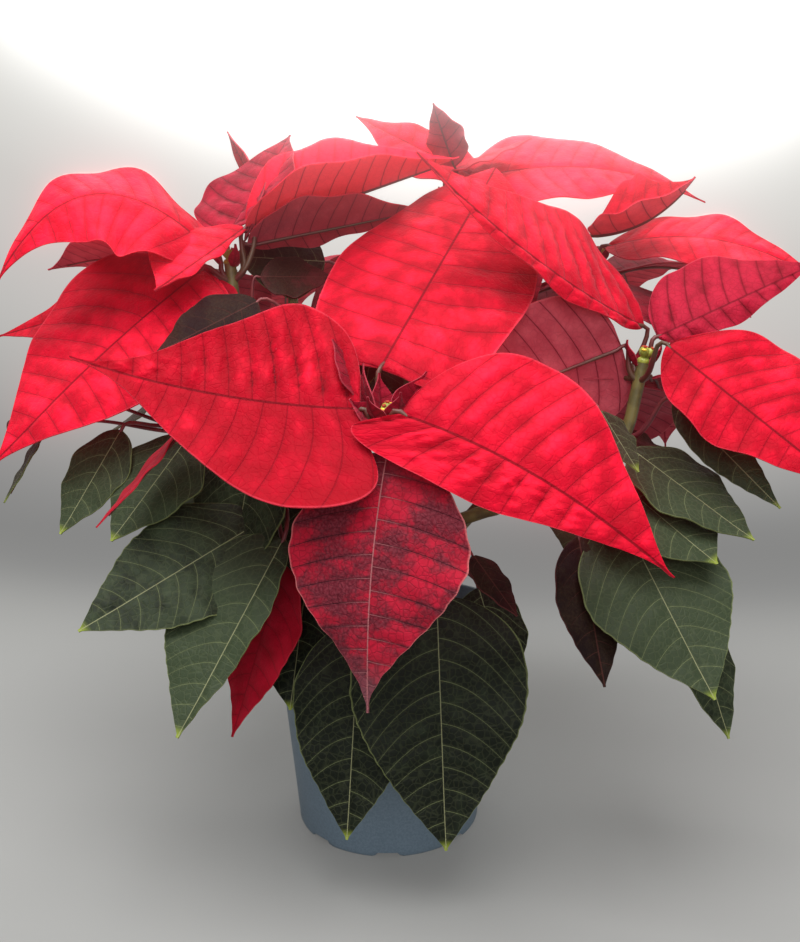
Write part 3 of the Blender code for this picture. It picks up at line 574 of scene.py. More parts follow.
def inner_radius(height):
    """Inside radius of the pot: the wall, the step out to the rim band, and the band."""
    heights = (0, WALL_TOP, BAND_FOOT, POT_HEIGHT)
    radii = (FOOT_RADIUS, WALL_TOP_RADIUS, RIM_RADIUS - LIP - 1, RIM_RADIUS - LIP)
    return float(np.interp(height, heights, radii)) - POT_WALL


# The finer forms of the blades, in mm
TISSUE = 0.6                 # thickness of a leaf
GROOVE, GROOVE_REACH = 0.8, 1.6  # depth of the crease over the rib, and how far it reaches to a side
VEIN_SPACING = 9.0           # between side veins along the rib
FEWEST_VEINS, MOST_VEINS = 5, 12
DIMPLE, SWELL = 4.2, 24.0    # across a small dimple and across a slow swell
FULL_RELIEF = 110.0          # length of the blade that has the whole relief; a shorter one has less
# How deep the margin's teeth are, how far side veins lean to the tip and how much they bend on the way
BRACT_VEINS = (0.05, 0.2, 0.16)
MOTTLED_VEINS = (0.35, 0.08, 0.16)
LEAF_VEINS = (0.28, 0.14, 0.75)
# A shoot's knuckles, as shares of its length
KNUCKLES = (0.18, 0.37, 0.52, 0.66, 0.78, 0.9)
# The cushion under the cups, a cup from foot to mouth and a stamen: radii, and the cup's heights
CUSHION_RADII = (3.0, 3.1, 3.1, 2.9, 2.4, 1.6)
CUP_RADII = (0.8, 0.85, 1.5, 1.95, 1.9, 1.5, 1.2, 0.9, 0.5)
CUP_HEIGHTS = (0, 0.12, 0.3, 0.5, 0.68, 0.8, 0.86, 0.84, 0.75)
STAMENS = 7
STAMEN_RADII = (0.14, 0.14, 0.14, 0.15, 0.3, 0.36, 0.16)
# A small leaf of the front shoot is tucked wholly behind the big one: which it is, and by how much
TUCKED, TUCK = 3, (-6.0, 9.0, 0.0)
# Patterns in the tissue, per cm: patches of tone 11 mm across, stains 24 mm, a net of 3 mm cells, which is
# coarser than the real one so that it shows, and a grain of 1.1 mm
PATCHES, STAINS, NET_CELLS, GRAIN = 0.9, 0.42, 3.4, 9.0
HOLLOW_SHADE = "#aaaaaa"     # multiplies the colour deep in the folds
SOIL_GRAINS, PERLITE_GRAINS = 420, 60
# The light painted on the paper along the sweep, as the colour of its glow: metres from the pot along the
# floor and up the wall, and colour. It is darker in a band low on the sweep and white at the top, with a
# painted shadow just behind the pot.
SWEEP_PAINTED_LIGHT = ((0.0, "#b0b0ae"), (0.1, "#949492"), (0.21, "#a6a6a3"), (0.38, "#8c8c8b"),
               (0.6, "#838382"), (0.85, "#939392"), (1.08, "#b2b2af"), (1.3, "#c6c4c1"),
               (1.45, "#cccbc7"), (1.53, "#d6d5d1"), (1.61, "#e0dfdb"), (1.69, "#eeede9"),
               (1.78, "#fefefc"))
SIDE_FALL = -0.35            # how the painted light bends down towards both sides, per metre squared
SIDE_LEAN = 0.12             # and lean to the left

# Area lights: name, place, target, size in metres and power in watts
LIGHTS = (("window_above", (-0.12, -0.5, 1.5), (0, 0.0, 0.2), (1.3, 0.9), 31),
          ("window_behind", (0.0, 1.0, 1.35), (0, 0.1, 0.3), (1.6, 0.7), 9),
          ("front_fill", (0.15, -1.5, 0.8), (0, 0, 0.25), (1.4, 1.0), 12))

# How each bract looks, in the tables' order: its finish, its tone, where above 0 is lighter, and how
# much its left and right halves are quilted. The tones are partly each bract's own and partly painted
# light and shade, set to the brightness the bract has where it sits in the plant.
BRACT_LOOKS = {
    "front": [("red", -0.16, 0.8, 1.95), ("red", 0.04, 1.1, 1.8), ("red", -0.02, 0.6, 0.9),
              ("mottled", 0.15, 0.7, 0.7), ("dusky", -0.2, 0.6, 0.6)],
    "left": [("red", 0.3, 0.6, 0.6), ("red", 0.12, 0.8, 0.8), ("red", 0.05, 1.0, 1.0),
             ("dusky", 0.0, 1.6, 1.6), ("red", 0.1, 0.6, 0.6), ("red", -0.2, 0.6, 0.6),
             ("dusky", -0.1, 0.6, 0.6), ("red", -0.1, 0.6, 0.6)],
    "right": [("red", 0.06, 1.2, 1.2), ("red", -0.02, 1.2, 1.0), ("red", -0.1, 0.8, 0.8),
              ("dusky", 0.1, 1.6, 1.6)],
    "back_right": [("red", 0.1, 0.7, 0.7), ("red", 0.05, 0.6, 0.6)],
    "top": [("red", 0.15, 0.7, 0.7), ("red", 0.1, 0.6, 0.6), ("dusky", -0.25, 0.5, 0.5),
            ("red", 0.0, 0.5, 0.5)],
    "back_left": [("red", 0.0, 0.5, 0.5)],
}
# The same for the leaves on each shoot. Their tones too are partly painted light and shade: the low
# tones of the front shoot's leaves paint the shade under the bracts.
LEAF_LOOKS = {
    "left": [("green", 0.3), ("green", 0.7), ("crimson", 0.2), ("green", 0.0), ("green", 0.35),
             ("crimson", 0.0), ("brown", -0.7), ("brown", -0.1), ("green", 0.1), ("brown", 0.15),
             ("crimson", 0.0)],
    "front": [("green", -0.35), ("green", -0.35), ("green", -0.3), ("green", -0.4), ("brown", -0.1)],
    "right": [("green", 0.6), ("green", 0.4), ("green", 0.35), ("brown", -0.5), ("green", 0.0),
              ("green", 0.2), ("brown", 0.1), ("green", 0.2)],
    "back_left": [("green", -0.15)],
}
# Young bracts that are still opening round the cups: bearing, rise, length, width and turn
YOUNG_BRACTS = {
    "front": ((184, 76, 25, 9, 0), (200, 40, 16, 12, 60), (-60, 62, 15, 11, 0), (25, 56, 25, 15, -70),
              (112, 74, 21, 12, 0), (235, 50, 15, 9, 0)),
    "right": ((75, 60, 12, 7, 0), (200, 66, 13, 6, 0), (-40, 62, 11, 7, 0)),
}
YOUNG = ((60, 62, 12, 7, 0), (185, 58, 13, 7, 0), (300, 66, 11, 6, 0))


def linear(hex_color):
    """An sRGB hex colour as linear RGBA."""
    parts = [int(hex_color[k:k + 2], 16) / 255 for k in (1, 3, 5)]
    return (*[((c + 0.055) / 1.055) ** 2.4 if c > 0.04045 else c / 12.92 for c in parts], 1.0)


def add(tree, kind, inputs=None, output=0, **settings):
    """Adds a shader node with its settings and links, and returns one of its outputs, or all for None."""
    made = tree.nodes.new("ShaderNode" + kind)
    for name, value in settings.items():
        setattr(made, name, value)
    for socket, value in (inputs or {}).items():
        if isinstance(value, bpy.types.NodeSocket):
            tree.links.new(value, made.inputs[socket])
        else:
            made.inputs[socket].default_value = value
    return made.outputs if output is None else made.outputs[output]


def new_material(name):
    material = bpy.data.materials.new(name)
    material.use_nodes = True
    material.node_tree.nodes.clear()
    return material, material.node_tree


def blade_material(name, colors, widths, shares, finish, ends=(), stains=None, under=False):
    """Leaf tissue: patches of two tones, side veins, a fine net of small veins, a rib and a margin.

    The blade's UV maps give the vein count and the share out to the margin, the place in cm, its tone and
    how raised each spot is, and the distances from both ends in cm. How raised a spot is paints light and
    shade: the patches are lighter on top of a fold and the colour is darker deep in it. The colors are the
    dark and the light tone, the veins', the rib's and the margin's. The widths are a side vein's half width
    as a share of the 9 mm between two, and the rib's in cm. The shares say how strongly the net, the halo of
    a side vein, the vein, the rib and the margin show. The finish is the roughness, the light let through,
    the relief and the sheen. The ends are tints at the blade's base and at its tip: the colour, its share
    and how far it reaches in cm. Stains are the two tones of patches that spread from the veins.
    """
    dark, light, vein_color, rib_color, margin_color = (linear(c) for c in colors)
    roughness, glow, relief, sheen = finish
    material, tree = new_material(name)
    place = add(tree, "UVMap", uv_map="place")
    vein, tone, from_ends = (add(tree, "SeparateXYZ", {0: add(tree, "UVMap", uv_map=uv_map)}, None)
                             for uv_map in ("vein", "tone", "ends"))
    patches = add(tree, "TexNoise", {"Vector": place, "Scale": PATCHES, "Detail": 3.0})
    grain = add(tree, "TexNoise", {"Vector": place, "Scale": GRAIN, "Detail": 2.0})
    cells = add(tree, "TexVoronoi", {"Vector": place, "Scale": NET_CELLS, "Randomness": 0.9}, "Distance",
                feature="DISTANCE_TO_EDGE")
    patches = add(tree, "Math", {0: patches, 1: tone[0]}, operation="ADD")
    # Painted light and shade: the patches are lighter on raised spots and darker in the folds.
    patches = add(tree, "Math", {0: tone[1], 1: 0.34, 2: patches}, operation="MULTIPLY_ADD")
    from_vein = add(tree, "Math", {0: vein[0], 1: 0.5}, operation="PINGPONG")
    from_rib = add(tree, "Math", {0: add(tree, "SeparateXYZ", {0: place})}, operation="ABSOLUTE")
    # Each mask: what it follows, from where to where, and its strength at both
    line, halo, net, rib, margin, lighter, deep = (
        add(tree, "MapRange", dict(enumerate(mask)), interpolation_type="SMOOTHSTEP")
        for mask in ((from_vein, widths[0] * 0.3, widths[0], 1.0, 0.0),
                     (from_vein, 0.0, 0.16, 1.0, 0.0),
                     (cells, 0.0, 0.12, 1.0, 0.0),
                     (from_rib, widths[1] * 0.5, widths[1], 1.0, 0.0),
                     (vein[1], 0.975, 0.995),
                     (patches, 0.35, 0.98),
                     (tone[1], 0.0, 0.3, 0.75, 0.0)))
    color = add(tree, "Mix", {0: lighter, 6: dark, 7: light}, 2, data_type="RGBA")
    # Painted shade: deep in the folds the colour is multiplied darker.
    layers = [(deep, linear(HOLLOW_SHADE), "MULTIPLY")]
    vein_tint = vein_color
    if stains:
        speckle = add(tree, "TexNoise", {"Vector": place, "Scale": STAINS, "Detail": 5.0, "Roughness": 0.7})
        amount = add(tree, "Math", {0: halo, 1: 0.06, 2: speckle}, operation="MULTIPLY_ADD")
        reach = add(tree, "MapRange", {0: amount, 1: 0.4, 2: 0.58, 4: 0.85}, interpolation_type="SMOOTHSTEP")
        browner = add(tree, "MapRange", {0: grain, 1: 0.4, 2: 0.65})
        stain = add(tree, "Mix", {0: browner, 6: linear(stains[0]), 7: linear(stains[1])}, 2,
                    data_type="RGBA")
        layers.append((reach, stain, "MIX"))
        pale = add(tree, "MapRange", {0: from_rib, 1: 0.3, 2: 1.3, 3: 0.8, 4: 0.0})
        vein_tint = add(tree, "Mix", {0: pale, 6: vein_color, 7: rib_color}, 2, data_type="RGBA")
    for from_end, (tint, share, reach) in zip(from_ends, ends):
        near = add(tree, "MapRange", {0: from_end, 1: 0.0, 2: reach, 3: share, 4: 0.0},
                   interpolation_type="SMOOTHSTEP")
        layers.append((near, linear(tint), "MIX"))
    tints = (vein_color, vein_color, vein_tint, rib_color, margin_color)
    for mask, share, tint in zip((net, halo, line, rib, margin), shares, tints):
        layers.append((add(tree, "Math", {0: mask, 1: share}, operation="MULTIPLY"), tint, "MIX"))
    for amount, tint, blend in layers:
        color = add(tree, "Mix", {0: amount, 6: color, 7: tint}, 2, data_type="RGBA", blend_type=blend)
    height, out_of = grain, 1.0 if under else -1.0
    for mask, lift in ((line, 1.2), (net, 0.6)):
        height = add(tree, "Math", {0: mask, 1: lift * out_of, 2: height}, operation="MULTIPLY_ADD")
    bump = add(tree, "Bump", {"Height": height, "Strength": relief, "Distance": 0.0003})
    skin = add(tree, "BsdfPrincipled", {"Base Color": color, "Roughness": roughness, "IOR": 1.42,
                                        "Normal": bump, "Specular IOR Level": 0.14, "Sheen Weight": sheen,
                                        "Sheen Roughness": 0.45, "Sheen Tint": linear("#ffc4d0")})
    lit = add(tree, "BsdfTranslucent", {"Color": color, "Normal": bump})
    both = add(tree, "MixShader", {0: glow, 1: skin, 2: lit})
    add(tree, "OutputMaterial", {"Surface": both}, None)
    return material


def grained_material(name, colors, scale, roughness, relief, distance=0.0004):
    """Noise between two tones with a relief that follows it, in grains per metre, and metres deep."""
    material, tree = new_material(name)
    where = add(tree, "TexCoord", output="Object")
    grain = add(tree, "TexNoise", {"Vector": where, "Scale": scale, "Detail": 4.0, "Roughness": 0.6})
    lighter = add(tree, "MapRange", {0: grain, 1: 0.35, 2: 0.65}, interpolation_type="SMOOTHSTEP")
    color = add(tree, "Mix", {0: lighter, 6: linear(colors[0]), 7: linear(colors[1])}, 2, data_type="RGBA")
    bump = add(tree, "Bump", {"Height": grain, "Strength": relief, "Distance": distance})
    skin = add(tree, "BsdfPrincipled", {"Base Color": color, "Roughness": roughness, "Normal": bump})
    add(tree, "OutputMaterial", {"Surface": skin}, None)
    return material


# The upper face of a bract is red tissue with a velvet sheen: darker sunk side veins and a thin pale margin.
# Its rib is dark, partly its own colour and partly painted shade for the crease it lies in.
BRACT_UPPER = blade_material(
    "poinsettia_bract_upper", ("#b80620", "#ea0a32", "#86041a", "#7c0214", "#f04c60"), (0.028, 0.07),
    (0.05, 0.1, 0.4, 0.85, 0.5), (0.6, 0.38, 0.6, 0.22), (("#a00820", 0.35, 2.5), ("#d8203c", 0.4, 0.8)))
# The lower face is duller and its veins stand out of it. It is paler partly by its own colour and partly
# by painted light, for the glare over the upper bracts.
BRACT_UNDER = blade_material(
    "poinsettia_bract_underside", ("#dc5668", "#f47a8a", "#700c1c", "#98142c", "#f48490"), (0.035, 0.06),
    (0.08, 0.12, 0.75, 0.6, 0.6), (0.6, 0.5, 0.5, 0.3), under=True)
# A bract that is still partly green: red with purple-grey patches, fine dark veins and a pale rib.
BRACT_MOTTLED = blade_material(
    "poinsettia_bract_mottled", ("#90081e", "#b81a34", "#340c16", "#a8686a", "#c87070"), (0.022, 0.034),
    (0.3, 0.12, 0.9, 0.85, 0.7), (0.6, 0.2, 0.6, 0.12),
    (("#4a1a24", 0.6, 2.0), ("#7a5058", 0.75, 2.6)), stains=("#481a24", "#6a323c"))
# A young bract that hasn't spread yet: dull crimson between puckered dark veins. The same darker finish
# paints shade on grown bracts deep in the rosette.
BRACT_DUSKY = blade_material(
    "poinsettia_bract_young_and_shaded", ("#8c0a22", "#c82040", "#6c0818", "#700a1c", "#e46070"), (0.045, 0.06),
    (0.15, 0.3, 0.5, 0.6, 0.5), (0.6, 0.38, 0.5, 0.22))
# A leaf's upper face is waxed: deep green, nearly black in shade, with pale yellow-green veins.
LEAF_UPPER = blade_material(
    "poinsettia_leaf_upper", ("#12170f", "#353f2c", "#848c62", "#90906c", "#788050"), (0.017, 0.026),
    (0.06, 0.05, 0.6, 0.75, 0.6), (0.5, 0.14, 0.6, 0.06), (("#1e1410", 0.6, 4.0), ("#98a838", 0.75, 0.5)))
# Its lower face is duller and greyer, and its veins stand out of it.
LEAF_UNDER = blade_material(
    "poinsettia_leaf_underside", ("#3c4630", "#4e5a3e", "#7c8658", "#8e9068", "#6c7448"), (0.035, 0.05),
    (0.1, 0.1, 0.55, 0.7, 0.5), (0.6, 0.18, 0.5, 0.1), under=True)
# A leaf that has turned crimson among the green ones.
LEAF_CRIMSON = blade_material(
    "poinsettia_leaf_crimson", ("#a0081e", "#c81430", "#6c0614", "#7c0c1c", "#d83c4c"), (0.03, 0.04),
    (0.08, 0.12, 0.4, 0.5, 0.4), (0.55, 0.36, 0.4, 0.14))
# A leaf on its way there: brown-purple with some green left.
LEAF_BROWN = blade_material(
    "poinsettia_leaf_brown", ("#1a0c0c", "#4e2020", "#140808", "#5c322c", "#6c3434"), (0.03, 0.04),
    (0.06, 0.12, 0.5, 0.5, 0.5), (0.6, 0.2, 0.4, 0.05), stains=("#24160f", "#302418"))
BRACT_FINISHES = (BRACT_UPPER, BRACT_UNDER, BRACT_MOTTLED, BRACT_DUSKY)
LEAF_FINISHES = (LEAF_UPPER, LEAF_UNDER, LEAF_CRIMSON, LEAF_BROWN)
FINISH_SLOT = {"red": 0, "mottled": 2, "dusky": 3, "green": 0, "crimson": 2, "brown": 3}
# A leaf stalk is smooth and dark red, with a tone that drifts every centimetre or so.
STALK = grained_material("poinsettia_leaf_stalk", ("#581820", "#762a2c"), 90, 0.5, 0.2)
# A bract stalk is dark red-brown; its colours are made darker to paint the shade it lies in under the
# bracts.
BRACT_STALK = grained_material("poinsettia_bract_stalk", ("#5e1f20", "#4e3c28"), 60, 0.5, 0.2)
# The young stem is green and smooth, with faint scars 8 mm apart.
STEM = grained_material("green_stem", ("#4c4c2c", "#6c6638"), 120, 0.5, 0.35)
# The old stem has turned to rough grey-brown bark with 4 mm flecks.
BARK = grained_material("woody_stem_bark", ("#54492f", "#7a6c4c"), 260, 0.8, 0.8, 0.0012)
# A cup is waxy and yellow-green, its gland is wet with nectar and shines, and its stamens are dull red.
CUP = grained_material("cyathium_cup", ("#7c8c34", "#a3a844"), 300, 0.4, 0.2)
GLAND = grained_material("cyathium_gland", ("#d8b02c", "#e8c84c"), 500, 0.25, 0.1)
STAMEN = grained_material("cyathium_stamen", ("#a82c24", "#c8542c"), 600, 0.5, 0.2)
# Polypropylene, moulded with a satin texture that spreads highlights softly. The real texture is finer:
# this one is 1.1 mm, so that it shows.
POT_PLASTIC = grained_material("moulded_polypropylene", ("#60717f", "#6a7b89"), 900, 0.5, 0.15, 0.0002)
# Damp peat: near-black crumbs of about 2.4 mm that hardly shine.
PEAT = grained_material("damp_peat", ("#1c130d", "#40301f"), 420, 0.95, 1.0, 0.002)
# Perlite: dry, chalky white grains, pitted every 1.4 mm.
PERLITE = grained_material("perlite_grains", ("#c8c4b8", "#e8e4da"), 700, 0.85, 0.6, 0.001)


class Shape:
    """Points, faces, material numbers and UV values gathered for one mesh."""

    def __init__(self):
        self.points, self.faces, self.slots = [], [], []
        self.maps = {"vein": [], "place": [], "tone": [], "ends": []}
        self.size = 0

    def put(self, points, *blocks):
        """Adds points and blocks of faces on them: the faces, a material number and UV values by map."""
        for faces, slot, maps in blocks:
            self.faces.append(faces + self.size)
            self.slots.append(np.full(len(faces), slot))
            for name, values in self.maps.items():
                values.append(maps[name] if maps else np.zeros((faces.size, 2)))
        self.points.append(points)
        self.size += len(points)

    def build(self, name, materials, slot, mapped=False, replaced=()):
        mesh = bpy.data.meshes.new(name)
        faces = [tuple(face) for block in self.faces for face in block.tolist()]
        mesh.from_pydata((np.vstack(self.points) * MM).tolist(), [], faces)
        for material in materials:
            mesh.materials.append(material)
        mesh.polygons.foreach_set("material_index", np.concatenate(self.slots).astype(np.int32))
        if mapped:
            for map_name, values in self.maps.items():
                layer = mesh.uv_layers.new(name=map_name)
                layer.data.foreach_set("uv", np.vstack(values).astype(np.float32).ravel())
        mesh.shade_smooth()
        mesh.set_sharp_from_angle(angle=math.radians(50))
        piece = bpy.data.objects.new(name, mesh)
        bpy.context.scene.collection.objects.link(piece)
        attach(piece, "root")
        if replaced:
            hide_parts(*replaced)
        return piece


def grid_faces(rows, columns):
    """Quads between neighbouring rows and columns."""
    corner = (np.arange(rows - 1)[:, None] * columns + np.arange(columns - 1)[None, :]).ravel()
    return np.stack([corner, corner + columns, corner + columns + 1, corner + 1], 1)


def smooth_line(points, count):
    """A curve through points, cubic between each two."""
    points = np.asarray(points, float)
    at = np.concatenate([[0], np.cumsum(np.linalg.norm(np.diff(points, axis=0), axis=1))])
    slope = np.gradient(points, at, axis=0)
    where = np.linspace(0, at[-1], count)
    index = np.clip(np.searchsorted(at, where, side="right") - 1, 0, len(points) - 2)
    step = (at[index + 1] - at[index])[:, None]
    t = ((where - at[index])[:, None]) / step
    return ((2 * t ** 3 - 3 * t ** 2 + 1) * points[index] + (t ** 3 - 2 * t ** 2 + t) * step * slope[index]
            + (3 * t ** 2 - 2 * t ** 3) * points[index + 1] + (t ** 3 - t ** 2) * step * slope[index + 1])


def put_tube(shape, line, radii, sides, slot):
    """A closed round tube along a line, with a radius at each of its points or at each point and side."""
    line = np.asarray(line, float)
    radii = np.asarray(radii, float)
    radii = np.repeat(radii[:, None], sides, 1) if radii.ndim == 1 else radii
    ahead = unit(np.gradient(line, axis=0))
    turn = np.linspace(0, 2 * np.pi, sides, endpoint=False)[:, None]
    side = unit(np.cross(ahead[0], [0.3, 0.52, 0.8]))
    rings = []
    for point, way, radius in zip(line, ahead, radii):
        side = unit(side - way * (side @ way))
        rings.append(point + radius[:, None] * (np.cos(turn) * side + np.sin(turn) * np.cross(way, side)))
    points = np.vstack(rings + [line[:1], line[-1:]])
    k = np.arange(sides)
    follow = (k + 1) % sides
    first, last = len(line) * sides, len(line) * sides + 1
    end = (len(line) - 1) * sides
    caps = np.vstack([np.stack([np.full(sides, first), follow, k], 1),
                      np.stack([np.full(sides, last), end + k, end + follow], 1)])
    shape.put(points, (ring_faces(len(line), sides), slot, None), (caps, slot, None))


def relief_scale(blade):
    """The share of the full relief that a blade of this length has."""
    return np.clip(blade.length / FULL_RELIEF, 0.35, 1.1)


def relief_of(blade, along, across, distance, quilts, veins):
    """Height of the folds, rib and margin, the margin's teeth, how raised each spot is for the painted light
    and shade of the folds, and vein counts.
    """
    toothed, lean, bend = veins
    out = np.abs(across)[None, :]
    lengths = np.broadcast_to(along[:, None] * blade.length, distance.shape)
    along = along[:, None]
    pairs = np.clip(blade.length / VEIN_SPACING, FEWEST_VEINS, MOST_VEINS)
    start = lengths - distance * (lean + bend * distance / (blade.width / 2))
    left, right = pairs * start / blade.length, pairs * start / blade.length + 0.5
    here = np.where(across[None, :] < 0, left, right)
    near_tip, past_base = np.clip((1 - along) * 6, 0, 1), np.clip(along * 8, 0, 1)
    inner = np.clip(out * 5, 0, 1) * (1 - out ** 4) * near_tip
    spots = np.stack([(distance * np.sign(across)).ravel(), lengths.ravel()], 1)
    small, slow = (np.array([noise.noise(Vector((x / size, y / size, seed))) for x, y in spots])
                   .reshape(distance.shape) for size, seed in ((DIMPLE, blade.length), (SWELL, blade.width)))
    quilt = np.where(across < 0, quilts[0], quilts[1])[None, :]
    quilt = quilt * (1.25 - 0.6 * along)
    pleat = (np.sin(np.pi * here) ** 2 + 0.05) ** 0.35 - 0.68
    dimples = np.sqrt(small ** 2 + 0.012) - 0.22
    puff = quilt * (1.2 * pleat * (1.0 + 0.6 * slow) + 1.3 * dimples) * inner
    # How raised each spot is, which paints the folds lighter on top and darker in the hollows.
    painted_fold_shade = np.clip(0.5 + puff / 2.0, 0, 1)
    puff = puff + 0.9 * slow * inner
    edge = out ** 3 * (toothed * np.sin(2 * np.pi * here / 1.7 + blade.bearing) + 1.4 * slow)
    edge = edge * near_tip * past_base
    groove = -GROOVE * np.exp(-(distance / GROOVE_REACH) ** 2) * near_tip
    scallop = toothed * np.cos(2 * np.pi * here) * out ** 6 * near_tip * past_base
    scale = relief_scale(blade)
    return scale * (puff + edge + groove), scale * scallop, painted_fold_shade, left, right


def put_blade(shape, blade, slots, tone, quilts, veins):
    """A blade on a fine grid, with a face above and below and a thin rim."""
    blade = replace(blade, wave=blade.wave * min(1.0, blade.width / 50))
    per_mm = 0.45 if blade.hidden else 0.85
    rows = int(np.clip(blade.length * per_mm, 18, 112))
    columns = 2 * int(np.clip(blade.width * per_mm / 4, 4, 20)) + 1
    along = np.linspace(0, 1, rows)
    across = np.linspace(-1, 1, columns)
    surface = blade_surface(blade, along, across)
    half_width = blade.width / 2 * outline(along, blade.widest, blade.blunt, blade.drawn)
    part = np.where(across < 0, blade.left_part, blade.right_part)[None, :]
    distance = np.maximum(half_width, 0.9)[:, None] * part * np.abs(across)[None, :]
    lift, teeth, painted_fold_shade, left, right = relief_of(blade, along, across, distance, quilts, veins)
    normals = surface_normals(surface)
    outward = unit(np.gradient(surface, axis=1)) * np.sign(across)[None, :, None]
    surface = surface + outward * teeth[..., None]
    upper, lower = ((surface + normals * (lift + half)[..., None]).reshape(-1, 3)
                    for half in (TISSUE / 2, -TISSUE / 2))
    count = rows * columns
    out = np.tile(np.abs(across), rows)
    along = np.repeat(along, columns)
    place = np.stack([(distance * np.sign(across)).ravel(), along * blade.length], 1) / 10
    place[:, 1] += blade.length + 7 * blade.phase
    ends = np.stack([along, 1 - along], 1) * blade.length / 10
    left, right, painted_fold_shade = left.ravel(), right.ravel(), painted_fold_shade.ravel()

    def maps_of(faces, columns_here):
        index = faces % count
        on_left = (columns_here < columns // 2)[:, None]
        vein = np.where(on_left, left[index], right[index]).ravel()
        index = index.ravel()
        return {"vein": np.stack([vein, out[index]], 1), "place": place[index], "ends": ends[index],
                "tone": np.stack([np.full(index.size, tone), painted_fold_shade[index]], 1)}

    quads = grid_faces(rows, columns)
    lowest = quads.min(axis=1) % columns
    left_edge = np.arange(rows) * columns
    border = np.concatenate([np.arange(columns), left_edge[1:] + columns - 1,
                             (rows - 1) * columns + np.arange(columns - 2, -1, -1), left_edge[-2:0:-1]])
    follow = np.roll(border, -1)
    rim = np.stack([border, border + count, follow + count, follow], 1)
    rim_maps = maps_of(rim, np.minimum(border % columns, follow % columns))
    rim_maps["vein"][:, 1] = 1.0
    over, under = quads[:, ::-1], quads + count
    shape.put(np.vstack([upper, lower]), (over, slots[0], maps_of(over, lowest)),
              (under, slots[1], maps_of(under, lowest)), (rim[:, ::-1], slots[0], rim_maps))


def put_stalk(shape, blade, stalk, slot):
    """The stalk as a round tube that runs on as the rib, half sunk in the blade's lower face."""
    shares = np.linspace(0.03, 0.88, 12)
    surface = blade_surface(blade, shares, np.array([-0.06, 0.0, 0.06]))
    normals = surface_normals(surface)[:, 1]
    thick = np.interp(shares, (0.0, 0.25, 0.9), (0.95, 0.7, 0.22)) * np.clip(blade.length / 60, 0.5, 1)
    sunk = TISSUE / 2 + GROOVE * relief_scale(blade) + 0.55 * thick
    ribs = surface[:, 1] - normals * sunk[:, None]
    line = smooth_line(np.vstack([stalk, ribs]), 44)
    steps = np.concatenate([[0], np.cumsum(np.linalg.norm(np.diff(line, axis=0), axis=1))])
    joint, end = steps[np.argmin(np.linalg.norm(line - ribs[0], axis=1))], steps[-1]
    radii = np.where(steps < joint, np.interp(steps, (0, 4, joint), (1.9, 1.4, thick[0])),
                     np.interp(steps, (joint, (joint + end) / 2, end), (thick[0], 0.75 * thick[0], 0.25)))
    put_tube(shape, line, radii, 10, slot)


def young_bracts(name):
    """Small bracts round a rosette's cups, with short bases on its core."""
    axis = head_axis(name)
    foot = np.array(HEADS[name], float) + axis * CORE_UP
    for bearing, rise, length, width, turn in YOUNG_BRACTS.get(name, YOUNG):
        base = foot + level_way(bearing) * 3.6 - axis * 1.5
        yield Blade(tuple(base), bearing, rise, length, width, turn, 24, 24, arch=-1.5, drawn=1.7, wave=0.5)


def build_bracts(name, placed):
    """A rosette of red bracts, and under them their stalks on a short core."""
    blades, stalks = Shape(), Shape()
    looks = BRACT_LOOKS[name]
    for k, (blade, stalk) in enumerate(placed):
        # A bract past the table, on the hidden sides, takes the dusky finish and a darker tone: painted
        # shade for one deep in the foliage.
        plain = ("dusky", 0.1 * math.sin(7.0 * k) - 0.1, 0.8, 0.8)
        finish, tone, *quilts = looks[k] if k < len(looks) else plain
        veins = MOTTLED_VEINS if finish == "mottled" else BRACT_VEINS
        put_blade(blades, blade, (FINISH_SLOT[finish], 1), tone, quilts, veins)
        put_stalk(stalks, blade, stalk, 1)
    for blade in young_bracts(name):
        put_blade(blades, blade, (3, 3), -0.1, (1.2, 1.2), BRACT_VEINS)
    foot, top = core_line(name)
    core = smooth_line([foot - head_axis(name), (foot + top) / 2, top], 14)
    put_tube(stalks, core, np.full(14, 2.9), 16, 0)
    blades.build(f"bracts_{name}_blades", BRACT_FINISHES, "red_bract", True, ["bracts_" + name])
    stalks.build(f"bracts_{name}_stalks", [STEM, BRACT_STALK], "green_leaf")


def build_leaves(index, name, placed):
    """A shoot's leaves, and their stalks on a stem that is thicker where each leaf grew."""
    blades, stalks = Shape(), Shape()
    looks = LEAF_LOOKS.get(name, [])
    for k, (blade, stalk) in enumerate(placed):
        finish, tone = looks[k] if k < len(looks) else ("green", 0.1 * math.sin(5.0 * k))
        put_blade(blades, blade, (FINISH_SLOT[finish], 1), tone, (0.7, 0.7), LEAF_VEINS)
        put_stalk(stalks, blade, stalk, 1)
    line = smooth_line(shoot_line(index, name), 60)
    at = np.linspace(0, 1, 60)
    knuckles = sum(0.5 * np.exp(-((at - foot) / 0.02) ** 2) for foot in KNUCKLES)
    put_tube(stalks, line, 3.5 - 0.6 * at + knuckles, 16, 0)
    if placed:
        blades.build(f"shoot_{name}_leaves", LEAF_FINISHES, "green_leaf", True)
    stalks.build(f"shoot_{name}_stalks", [STEM, STALK], "green_leaf", False, ["shoot_" + name])


